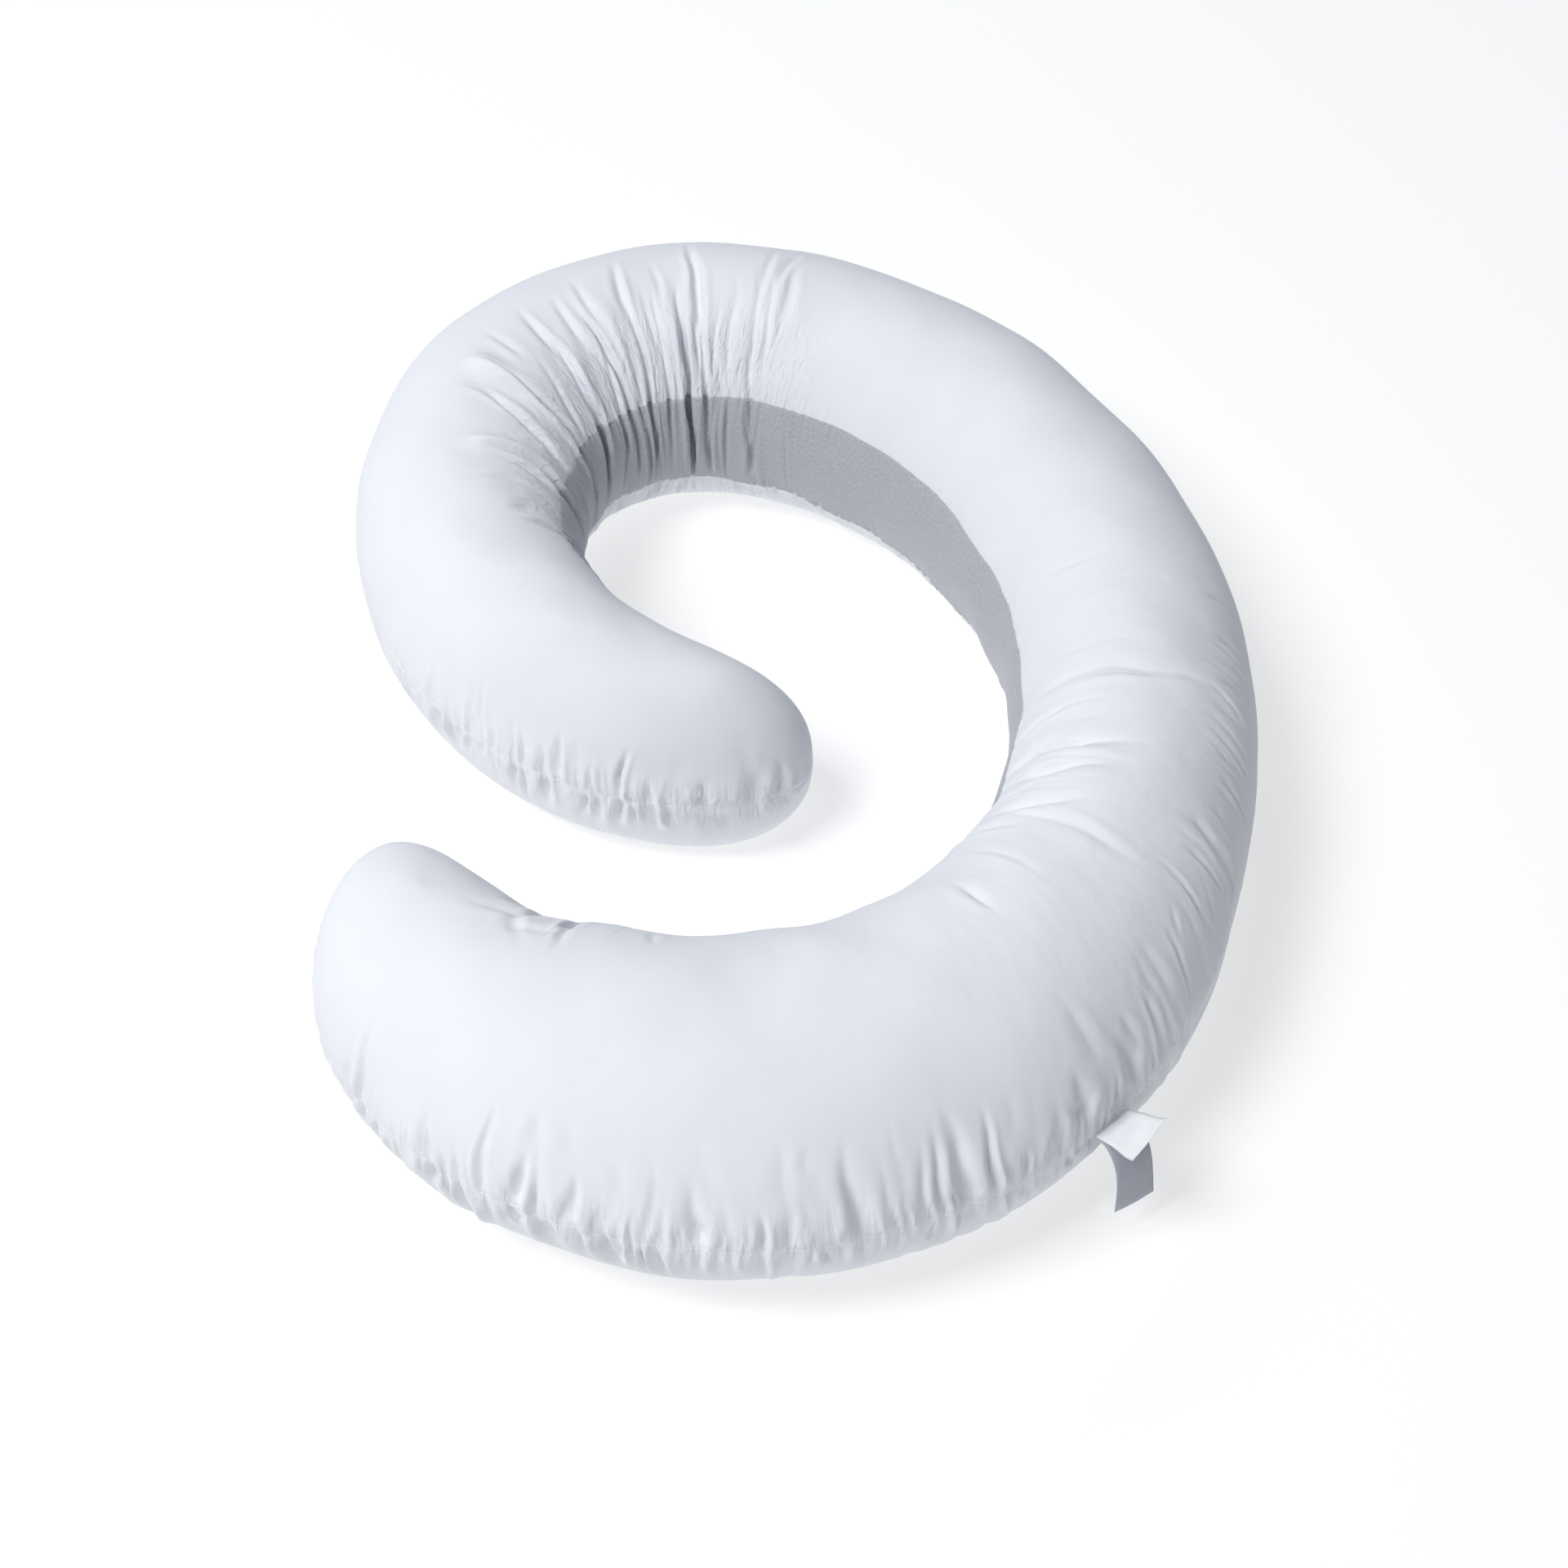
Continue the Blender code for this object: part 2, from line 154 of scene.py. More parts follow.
# Small puckers scattered between the main folds, each group over a stretch of the tube
# from, to, spacing, start angle, end angle, how much either may vary, slant, depth, half width
PUCKERS = (
    # Across the outer seam of the wide stretch, short ones and long ones
    (0.04, 0.82, 0.0080, -16, 13, 9, 0.006, 0.0090, 0.0030),
    (0.04, 0.84, 0.0180, -28, 32, 14, 0.012, 0.0132, 0.0050),
    # Across the outer seam of the long arm and the arc
    (0.82, 2.52, 0.0150, -8, 10, 4, 0.006, 0.0022, 0.0030),
    # Across the outer seam of the curled-in end
    (2.54, 2.94, 0.0069, -16, 14, 8, 0.006, 0.0092, 0.0030),
    (2.60, 2.94, 0.0155, -28, 30, 12, 0.010, 0.0132, 0.0048),
    # Above and below the inner band in the tight bend, and on the band itself
    (1.78, 2.60, 0.0480, 166, 122, 24, 0.024, 0.0040, 0.0042),
    (1.84, 2.56, 0.0700, 150, 96, 20, 0.024, 0.0050, 0.0110),
    (1.74, 2.64, 0.0210, 164, 144, 8, 0.006, 0.0030, 0.0030),
    (1.20, 1.76, 0.0120, 200, 230, 8, 0.006, 0.0040, 0.0032),
    (1.76, 2.62, 0.0100, 198, 234, 8, 0.006, 0.0060, 0.0034),
    (1.80, 2.58, 0.0700, 146, 214, 6, 0.004, 0.0056, 0.0050),
    (0.30, 1.76, 0.0240, 166, 146, 5, 0.008, 0.0016, 0.0036),
    # Slack cloth across the long arm, fanning out from its inner side, and at its outer edge
    (0.88, 1.08, 0.0200, 152, 108, 28, 0.030, 0.0038, 0.0042),
    (0.80, 1.30, 0.0380, 146, 84, 30, 0.034, 0.0034, 0.0070),
    (0.84, 1.24, 0.0120, 54, 22, 14, 0.022, 0.0040, 0.0032),
    # Soft runs up from the seam of the wide stretch
    (0.30, 0.86, 0.0300, 14, 50, 18, 0.014, 0.0036, 0.0070),
    # At the kink of the free end
    (0.14, 0.34, 0.0250, 150, 108, 12, 0.016, 0.0028, 0.0046),
)
# Finer creases of the tight bend and of the kink
# the columns of the main folds
FINE_CREASES = (
    (2.535, 140, 2.530, 98, 0.50, 0.0030, 0.006),
    (2.475, 142, 2.466, 88, 0.50, 0.0045, 0.006),
    (2.450, 152, 2.428, 102, 0.50, 0.0070, 0.006),
    (2.370, 148, 2.322, 84, 0.60, 0.0060, 0.006),
    (2.300, 160, 2.235, 104, 0.45, 0.0050, 0.005),
    (2.143, 150, 2.143, 98, 0.50, 0.0050, 0.006),
    (2.054, 152, 2.054, 98, 0.50, 0.0035, 0.006),
    (2.003, 156, 2.012, 96, 0.45, 0.0060, 0.005),
    (1.986, 160, 1.982, 92, 0.40, 0.0070, 0.005),
    (1.936, 158, 1.964, 124, 0.40, 0.0050, 0.005),
    (1.928, 154, 1.937, 106, 0.50, 0.0035, 0.005),
    (1.866, 152, 1.901, 82, 0.50, 0.0045, 0.005),
    (1.852, 126, 1.876, 78, 0.50, 0.0035, 0.005),
    # Their long ends over the top
    (1.886, 104, 1.882, 60, 0.40, 0.0035, 0.005),
    (1.902, 112, 1.906, 62, 0.40, 0.0045, 0.005),
    (1.982, 124, 1.994, 56, 0.40, 0.0075, 0.006),
    (2.028, 120, 2.036, 80, 0.50, 0.0030, 0.005),
    (2.088, 124, 2.070, 72, 0.45, 0.0065, 0.006),
    (2.132, 124, 2.120, 78, 0.50, 0.0035, 0.006),
    (2.176, 128, 2.150, 84, 0.50, 0.0045, 0.006),
    (2.224, 124, 2.186, 78, 0.45, 0.0060, 0.006),
    (2.262, 112, 2.232, 76, 0.50, 0.0035, 0.006),
    # Pleats on the band
    (2.352, 204, 2.300, 156, 0.50, 0.0070, 0.006),
    (2.320, 204, 2.318, 160, 0.50, 0.0060, 0.005),
    (2.116, 204, 2.110, 152, 0.45, 0.0060, 0.005),
    (2.082, 204, 2.088, 156, 0.45, 0.0050, 0.005),
    (1.962, 204, 1.955, 154, 0.45, 0.0090, 0.006),
    (1.882, 202, 1.866, 154, 0.45, 0.0060, 0.006),
    # At the kink of the free end
    (0.200, 136, 0.158, 112, 0.35, 0.0040, 0.008),
    (0.238, 142, 0.212, 112, 0.55, 0.0075, 0.008),
    (0.210, 116, 0.262, 96, 0.25, 0.0055, 0.007),
    (0.262, 142, 0.290, 98, 0.50, 0.0075, 0.007),
    (0.362, 134, 0.384, 116, 0.40, 0.0025, 0.007),
)
# Slack cloth standing up between the deepest folds: plain rises
# the columns of the dents
RISES = (
    (2.340, 154, 2.278, 78, 0.80, -0.0100, 0.012),
    (2.412, 152, 2.412, 84, 0.72, -0.0080, 0.011),
    (2.232, 160, 2.172, 96, 0.50, -0.0045, 0.013),
    (2.120, 156, 2.108, 92, 0.50, -0.0040, 0.012),
    (2.020, 156, 2.030, 90, 0.50, -0.0035, 0.010),
)
# Deep folds from this depth on branch, and puckers go no deeper than the cap
BRANCH_LEAST = 0.005
PUCKER_CAP = 0.011
# The share of the main folds that is pressed in again, narrower, after the cover has settled
CREASE_SHARE = 0.45
CREASE_NARROWING = 0.6
# The seams: their grooves, and how much and how far the outer one holds the cloth beside it
GROOVE_REACH = 0.005
GROOVE_SHARPNESS = 1.5
SEAM_HOLD = 0.60
SEAM_HOLD_REACH = 0.013
# Heights above the ground where folds and puckers start, and over which they grow to their full depth
FOLD_START, FOLD_GROWTH = 0.004, 0.05
PUCKER_START, PUCKER_GROWTH = 0.006, 0.04
# A fold's profile in half widths: its valley, and the height, place and breadth of its two ridges
VALLEY_SHARPNESS = 1.5
VALLEY_ROUNDNESS = 0.2
FULL_RIDGE = (0.46, 1.5, 0.6)
LOW_RIDGE = (0.16, 1.9, 1.0)

# Slow unevenness of the filling
# wave length along, wave length round, height
LUMPS = (
    (0.31, 0.50, 0.0016),
    (0.19, 0.33, 0.0014),
    (0.13, 0.21, 0.0010),
    (0.085, 0.15, 0.0007),
)

# How finely the cover is divided before its one subdivision, and how finely while it settles:
# the rings' spacing up to a distance
# up to, spacing, spacing while settling
RING_SPACING = (
    (0.17, 0.0050, 0.0090),
    (0.84, 0.0036, 0.0074),
    (1.24, 0.0044, 0.0074),
    (1.72, 0.0080, 0.0120),
    (2.62, 0.0036, 0.0058),
    (2.82, 0.0040, 0.0074),
)
CAP_RINGS = 16
SEAM_ROWS = (1.3, 3.0, 5.5, 9.0, 13.0)
UPPER_ROWS = 40
BAND_ROWS = 12
LOWER_ROWS = 24

# How much straighter the tube was cut than it lies, and how much longer, over stretches of its length
# along, share of the bend taken out, extra length
CUT_SHAPE = (
    (0.00, 0.00, 0.000),
    (0.10, 0.10, 0.005),
    (0.70, 0.10, 0.008),
    (0.95, 0.00, 0.035),
    (1.15, 0.00, 0.025),
    (1.40, 0.05, 0.000),
    (1.75, 0.20, 0.005),
    (2.05, 0.38, 0.012),
    (2.35, 0.38, 0.012),
    (2.60, 0.20, 0.005),
    (2.95, 0.00, 0.000),
)
# How the percale behaves while it settles
PERCALE = {
    "quality": 6, "mass": 0.3, "tension_stiffness": 40, "compression_stiffness": 15,
    "shear_stiffness": 12, "bending_stiffness": 0.4, "tension_damping": 15,
    "compression_damping": 15, "pin_stiffness": 20,
}
SIMULATED_FRAMES = 22
MOVEMENT_CAP = 0.014
# The underside is held up to the first height, and free from the second
HELD_BELOW, FREE_ABOVE = 0.004, 0.012

# The labels: how far out from the seam and how far up, along each
LABEL_ALONG = 0.735
FRONT_LABEL = ((0.0, 0.0), (0.010, 0.002), (0.022, 0.0035), (0.033, 0.0025), (0.043, 0.0045))
BACK_LABEL = ((0.0, 0.0), (0.010, -0.003), (0.020, -0.012), (0.029, -0.030), (0.034, -0.055),
              (0.037, -0.088))
FRONT_LABEL_LIFT = 0.022
BACK_LABEL_TWIST = 14.0

# The photograph's camera, fitted to the outline
CAMERA_PLACE = (-0.0077, -2.1538, 2.3141)
CAMERA_ELEVATION = 47.0
CAMERA_LENS = 67.5
SENSOR_WIDTH = 36.0

# Soft lights: where each stands, what it is turned to, its size, power and tint
# name, place, aim, (width, height), watts, colour
LIGHTS = (
    ("Key light", (-2.9, -2.0, 6.0), (0.0, 0.0, 0.1), (2.8, 2.8), 388.0, (1.0, 1.0, 1.0)),
    ("Back light", (-1.6, 4.4, 4.4), (0.0, 0.0, 0.1), (3.0, 2.0), 62.0, (0.93, 0.97, 1.05)),
)
# Dim light from all round, the paler horizon, how high it reaches, and the floor's own glow
WORLD_STRENGTH = 0.17
WORLD_COLOUR = (0.90, 0.97, 1.12, 1.0)
HORIZON_STRENGTH = 0.68
HORIZON_TOP = 0.09
FLOOR_GLOW = 0.59
FLOOR_SIZE = 240.0
FLOOR_LEVEL = -0.0005

# Where the finer creases of the cloth show: where each stretch of the tube begins, is full, is still
# full and ends, and how far round from a middle line they reach: middle, fades out at, full within
BEND_STRETCH = (1.70, 1.90, 2.46, 2.66)
ARM_STRETCH = (0.55, 0.80, 1.15, 1.35)
SEAM_SIDE = (0.0, 0.060, 0.006)
BEND_SIDE = (0.43, 0.20, 0.09)
ARM_SIDE = (0.16, 0.17, 0.06)
STITCH_SIDE = (0.0, 0.0016, 0.0007)
# Heights of the cotton's bumps, in metres
PUCKER_BUMP = 0.0062
CRINKLE_BUMP = 0.0026
FINE_BUMP = 0.0009
SHARP_BUMP = 0.0012
SLANTED_BUMP = 0.0004
SLANTED_ARM_BUMP = 0.0018
BROAD_BUMP = 0.0016
WEAVE_BUMP = 0.00002
STITCH_BUMP = 0.0007
# The weaves and ribs as radians of a wave to the metre, and the outer seam's stitches to the metre:
# the share of each that is gap fades in between two values, and there they stand this much as high
COTTON_THREADS = 7000
KNIT_RIBS = (3900, 4600)
SATIN_THREADS = 9000
STITCHES = 330
STITCH_GAP = (0.64, 0.74)
STITCH_TROUGH = 0.45
# How much lighter the stitched seam line is painted than the cotton: a painted highlight along the seam's
# ridge, strongest on the stitches
SEAM_HIGHLIGHT_BRIGHTNESS = 1.14

# How finely the labels are divided, how proud of the seam they start, and how much they ripple
LABEL_ROWS = 22
LABEL_COLUMNS = 12
LABEL_ROOT_LIFT = 0.0006
LABEL_RIPPLE = 0.0015
# The gap that keeps the cover clear of the band's underside
BAND_CLEARANCE = 0.0006

# The step for slopes, and the least length that is divided by
SMALL_STEP = 0.0002
TINY = 0.000001


class PillowSizes(bpy.types.PropertyGroup):
    """Sizes of the pillow that a user would change."""
    seam_depth: bpy.props.FloatProperty(
        name="Seam depth", description="How far the outer seam is drawn into the filling",
        default=0.0014, unit="LENGTH")
    band_seam_depth: bpy.props.FloatProperty(
        name="Band seam depth", description="How far the inner band's seams are drawn in",
        default=0.0020, unit="LENGTH")
    fold_strength: bpy.props.FloatProperty(
        name="Fold strength", description="Depth of the main folds against the photographed one",
        default=1.0, min=0.0, max=1.5)
    pucker_strength: bpy.props.FloatProperty(
        name="Pucker strength", description="Depth of the small puckers against the photographed one",
        default=1.0, min=0.0, max=1.5)
    pressure: bpy.props.FloatProperty(
        name="Filling pressure", description="Pressure of the filling while the cover settles",
        default=4.0, min=0.0)
    band_thickness: bpy.props.FloatProperty(
        name="Band thickness", description="Thickness of the knit band",
        default=0.0012, unit="LENGTH")
    label_width: bpy.props.FloatProperty(
        name="Label width", description="Width of the sewn-in labels",
        default=0.045, unit="LENGTH")
    label_thickness: bpy.props.FloatProperty(
        name="Label thickness", description="Thickness of the labels' ribbon",
        default=0.0006, unit="LENGTH")


class PillowColours(bpy.types.PropertyGroup):
    """Colours of the pillow that a user would change."""
    cotton: bpy.props.FloatVectorProperty(
        name="Cotton", description="Colour of the white percale cover",
        default=(0.796, 0.814, 0.853), subtype="COLOR", size=3, min=0.0, max=1.0)
    knit: bpy.props.FloatVectorProperty(
        name="Knit", description="Colour of the inner band",
        default=(0.44, 0.45, 0.49), subtype="COLOR", size=3, min=0.0, max=1.0)
    front_label: bpy.props.FloatVectorProperty(
        name="Front label", description="Colour of the small white label",
        default=(0.84, 0.86, 0.88), subtype="COLOR", size=3, min=0.0, max=1.0)
    # The back label's colour, much darker than the front label's white
    back_label: bpy.props.FloatVectorProperty(
        name="Back label", description="Colour of the longer grey label",
        default=(0.42, 0.44, 0.50), subtype="COLOR", size=3, min=0.0, max=1.0)
    floor: bpy.props.FloatVectorProperty(
        name="Floor", description="Colour of the studio floor",
        default=(0.46, 0.46, 0.46), subtype="COLOR", size=3, min=0.0, max=1.0)


def spline(knots, values, at):
    """Natural cubic spline through the values at the knots, read at the places asked for."""
    count = len(knots)
    gap = np.diff(knots)
    slope = np.diff(values, axis=0) / gap[:, None]
    system = np.eye(count)
    right = np.zeros_like(values)
    for i in range(1, count - 1):
        system[i, i - 1:i + 2] = gap[i - 1], 2 * (gap[i - 1] + gap[i]), gap[i]
        right[i] = 6 * (slope[i] - slope[i - 1])
    bend = np.linalg.solve(system, right)
    i = np.clip(np.searchsorted(knots, at) - 1, 0, count - 2)
    span = gap[i][..., None]
    u = (at - knots[i])[..., None]
    first = slope[i] - span * (2 * bend[i] + bend[i + 1]) / 6
    return values[i] + u * first + u**2 * bend[i] / 2 + u**3 * (bend[i + 1] - bend[i]) / (6 * span)


STATION_TABLE = np.array(STATIONS)
STEPS = np.linalg.norm(np.diff(STATION_TABLE[:, :2], axis=0), axis=1)
KNOTS = np.concatenate(([0.0], np.cumsum(STEPS)))
LENGTH = KNOTS[-1]
BAND_TABLE = np.array(BAND_EDGES)
BAND_START = BAND_TABLE[0, 0]
BAND_END = BAND_TABLE[-1, 0]
CUT_TABLE = np.array(CUT_SHAPE)


def fullness(along):
    """1 along the tube, falling to 0 at the two rounded ends."""
    free = np.clip(1 - along / FREE_END_CAP, 0, 1)
    curled = np.clip(1 - (LENGTH - along) / CURLED_END_CAP, 0, 1)
    return (1 - free**CAP_POWER) ** (1 / CAP_POWER) * (1 - curled**CAP_POWER) ** (1 / CAP_POWER)


def axis_frame(along):
    """The axis's place and size, and the direction straight out from it, seen from above."""
    here = spline(KNOTS, STATION_TABLE, along)
    behind = spline(KNOTS, STATION_TABLE, along - SMALL_STEP)
    ahead = (spline(KNOTS, STATION_TABLE, along + SMALL_STEP) - behind)[..., :2]
    ahead = ahead / np.linalg.norm(ahead, axis=-1, keepdims=True)
    return here, np.stack((ahead[..., 1], -ahead[..., 0]), axis=-1)


def skin(along, angle):
    """Points of the smooth skin, flat underneath where it rests."""
    along, angle = np.broadcast_arrays(along, angle)
    here, outward = axis_frame(along)
    height = here[..., 3]
    seam = SEAM_HEIGHT * height
    full = fullness(along)
    rise = np.sin(np.radians(angle))
    upper = seam + (height - seam) * rise
    lower = seam * (1 + LOWER_FULLNESS * rise)
    blended = (lower + BASE_BLEND) ** 2 / (4 * BASE_BLEND)
    lower = np.where(np.abs(lower) < BASE_BLEND, blended, np.maximum(lower, 0))
    level = seam + (np.where(rise >= 0, upper, lower) - seam) * full
    side = here[..., 2] / 2 * np.cos(np.radians(angle)) * full
    flat = here[..., :2] + outward * side[..., None] - np.array(BOX_CENTRE)
    return np.concatenate((flat, level[..., None]), axis=-1)


def skin_normal(along, angle):
    """Directions straight out of the smooth skin."""
    small_turn = np.degrees(SMALL_STEP)
    run = skin(along + SMALL_STEP, angle) - skin(along - SMALL_STEP, angle)
    turn = skin(along, angle + small_turn) - skin(along, angle - small_turn)
    normal = np.cross(run, turn)
    return normal / np.linalg.norm(normal, axis=-1, keepdims=True)


def arc_of(angle):
    """Distance round the tube from the outer seam, for angles from -90 to 270."""
    return np.radians((angle + 90) % 360 - 90) * TYPICAL_RADIUS


def band_edges(along):
    """Angles of the band's upper and lower edges."""
    held = np.clip(along, BAND_START, BAND_END)
    edges = spline(BAND_TABLE[:, 0], BAND_TABLE[:, 1:], held)
    return edges[..., 0], edges[..., 1]


def wandered(along, arc):
    """The same places, shifted a little, so that no fold runs quite straight."""
    first = 2 * math.pi * (arc / 0.13 + along / 0.31)
    second = 2 * math.pi * (arc / 0.061 - along / 0.17) + 1.3
    return along + 0.0016 * np.sin(first) + 0.0006 * np.sin(second), arc + 0.002 * np.sin(second)


def crease(apart, lean):
    """A fold's profile: a sharp valley, a full ridge on one side of it and a low one on the other."""
    valley = np.exp(-VALLEY_SHARPNESS * (np.hypot(apart, VALLEY_ROUNDNESS) - VALLEY_ROUNDNESS))
    for side, (height, place, breadth) in ((lean, FULL_RIDGE), (-lean, LOW_RIDGE)):
        valley = valley - height * np.exp(-(apart - side * place) ** 2 / breadth)
    return valley


def pressed(along, arc, folds, narrowed=1.0, plain=False):
    """How far a list of folds presses the skin in. Each narrows towards its end, unless it is plain."""
    along, arc = wandered(*np.broadcast_arrays(along, arc))
    depth = np.zeros(arc.shape)
    for i, (along_1, angle_1, along_2, angle_2, deepest, deep, half_width) in enumerate(folds):
        start = np.array((along_1, math.radians(angle_1) * TYPICAL_RADIUS))
        run = np.array((along_2, math.radians(angle_2) * TYPICAL_RADIUS)) - start
        margin = 5 * half_width
        near = (along > min(along_1, along_2) - margin) & (along < max(along_1, along_2) + margin)
        offset_along = along[near] - start[0]
        offset_arc = arc[near] - start[1]
        share = np.clip((offset_along * run[0] + offset_arc * run[1]) / (run @ run), 0, 1)
        side = np.sign(offset_along * run[1] - offset_arc * run[0])
        apart = side * np.hypot(offset_along - share * run[0], offset_arc - share * run[1])
        ramp = np.where(share < deepest, share / deepest, (1 - share) / (1 - deepest))
        if plain:
            profile = np.exp(-(apart / half_width) ** 2)
        else:
            wide = half_width * narrowed * (1.2 - 0.65 * share)
            profile = crease(apart / wide, 1 if i * 7 % 3 else -1)
        depth[near] += deep * ramp**2 * (3 - 2 * ramp) * profile
    return depth


def groove(apart):
    """The profile of a seam's groove, from its middle."""
    return np.exp(-np.abs(apart / GROOVE_REACH) ** GROOVE_SHARPNESS)


def beside_seam(arc):
    """How much of a fold is left near the outer seam, where the layers of cloth are stiffer."""
    return 1 - SEAM_HOLD * np.exp(-(arc / SEAM_HOLD_REACH) ** 2)


def scattered_puckers():
    """The small puckers spread over their stretches, and the branches of the deep folds, from a seed."""
    chance = np.random.default_rng(7)
    folds = []
    for first, last, spacing, start, end, vary, slant, depth, half_width in PUCKERS:
        for i in range(round((last - first) / spacing)):
            along = first + (i + chance.uniform(0.1, 0.9)) * spacing
            lean = chance.normal(0, slant / 2)
            start_angle = start + chance.uniform(-vary, vary)
            end_angle = end + chance.uniform(-vary, vary)
            deep = depth * (0.18 + 0.82 * chance.uniform(0, 1) ** 1.7)
            wide = half_width * chance.uniform(0.75, 1.3)
            deepest = chance.uniform(0.25, 0.55)
            folds.append((along, start_angle, along + lean, end_angle, deepest, deep, wide))
    for along_1, angle_1, along_2, angle_2, deepest, deep, half_width in MAIN_FOLDS:
        for aside in (-1, 1):
            if deep < BRANCH_LEAST or chance.uniform(0, 1) < 0.25:
                continue
            root = chance.uniform(0.05, 0.35)
            reach = root + chance.uniform(0.30, 0.55)
            turn_aside = aside * chance.uniform(0.008, 0.020)
            run_along, run_angle = along_2 - along_1, angle_2 - angle_1
            start = (along_1 + run_along * root, angle_1 + run_angle * root)
            end = (along_1 + run_along * reach + turn_aside, angle_1 + run_angle * reach)
            folds.append((*start, *end, 0.3, deep * 0.4, half_width * 0.6))
    return folds


def lumps(along, arc):
    """Slow rises and dips of the filling."""
    chance = np.random.default_rng(3)
    height = np.zeros(arc.shape)
    for wave_along, wave_round, tall in LUMPS:
        for _ in range(3):
            turn = chance.uniform(0, 2 * math.pi, 2)
            lean = chance.uniform(-1, 1)
            phase = 2 * math.pi * (along / wave_along + lean * arc / wave_round)
            around = 2 * math.pi * arc / wave_round
            height += tall / 2 * np.sin(phase + turn[0]) * np.cos(around + turn[1])
    return height


def ring_places(column):
    """Distances along the axis of the cover's rings, at the spacings in one column of the table."""
    turns = np.radians(90) * np.arange(1, CAP_RINGS + 1) / CAP_RINGS
    places = list(FREE_END_CAP * (1 - np.cos(turns)))
    for row in RING_SPACING:
        limit = row[0]
        start = places[-1]
        count = max(round((limit - start) / row[column]), 0)
        places += [start + (limit - start) * i / count for i in range(1, count + 1)]
    places += list(LENGTH - CURLED_END_CAP * (1 - np.cos(turns[:-1][::-1])))
    return np.array(places)


def evenly(first, last, count):
    """Angles between two others, leaving both of those out."""
    return [first + (last - first) * (i + 1) / (count + 1) for i in range(count)]


def row_angles(along):
    """Angles of the cover's rows in each ring. Two of the rows run along the band's edges."""
    upper, lower = band_edges(along)
    flat = np.zeros_like(along)
    outer = [flat] + [flat + row for row in SEAM_ROWS]
    over = evenly(outer[-1], upper, UPPER_ROWS - 1) + [upper]
    behind = evenly(upper, lower, BAND_ROWS)
    under = [lower] + evenly(lower, flat + 360 - SEAM_ROWS[-1], LOWER_ROWS)
    back = [flat + 360 - row for row in reversed(SEAM_ROWS)]
    return np.stack(outer + over + behind + under + back, axis=1)


def cover_relief(along, angle, sizes):
    """How far the cover lies inside the smooth skin: seams, folds, creases, rises and slow lumps."""
    arc = arc_of(angle)
    depth = sizes.seam_depth * groove(arc)
    banded = (along > BAND_START) & (along < BAND_END)
    for edge in band_edges(along):
        depth += np.where(banded, sizes.band_seam_depth * groove(arc - arc_of(edge)), 0)
    depth += sizes.fold_strength * pressed(along, arc, MAIN_FOLDS) * beside_seam(arc)
    depth += sizes.fold_strength * pressed(along, arc, FINE_CREASES)
    depth += pressed(along, arc, DENTS + RISES, plain=True)
    raised = np.clip((skin(along, angle)[..., 2] - FOLD_START) / FOLD_GROWTH, 0, 1)
    return (depth - lumps(along, arc)) * fullness(along) * raised


def cut_shape(along, points):
    """The cover as it was cut: the same rings on a straighter and longer axis."""
    here, outward = axis_frame(along)
    ahead = np.stack((-outward[:, 1], outward[:, 0]), axis=1)
    heading = np.unwrap(np.arctan2(ahead[:, 1], ahead[:, 0]))
    centre = here[:, :2] - np.array(BOX_CENTRE)
    less = np.interp(along, CUT_TABLE[:, 0], CUT_TABLE[:, 1])
    longer = np.interp(along, CUT_TABLE[:, 0], CUT_TABLE[:, 2])
    steps = np.linalg.norm(np.diff(centre, axis=0), axis=1)
    turns = np.diff(heading) * (1 - (less[1:] + less[:-1]) / 2)
    new_heading = np.concatenate((heading[:1], heading[0] + np.cumsum(turns)))
    middle = (new_heading[1:] + new_heading[:-1]) / 2
    stretch = steps * (1 + (longer[1:] + longer[:-1]) / 2)
    moves = stretch[:, None] * np.stack((np.cos(middle), np.sin(middle)), axis=1)
    new_centre = np.concatenate((centre[:1], centre[0] + np.cumsum(moves, axis=0)))
    new_ahead = np.stack((np.cos(new_heading), np.sin(new_heading)), axis=1)
    new_outward = np.stack((new_ahead[:, 1], -new_ahead[:, 0]), axis=1)
    offset = points[..., :2] - centre[:, None]
    off_side = (offset * outward[:, None]).sum(-1)
    off_ahead = (offset * ahead[:, None]).sum(-1)
    flat = new_centre[:, None] + off_side[..., None] * new_outward[:, None]
    flat = flat + off_ahead[..., None] * new_ahead[:, None]
    return np.concatenate((flat, points[..., 2:]), axis=-1)


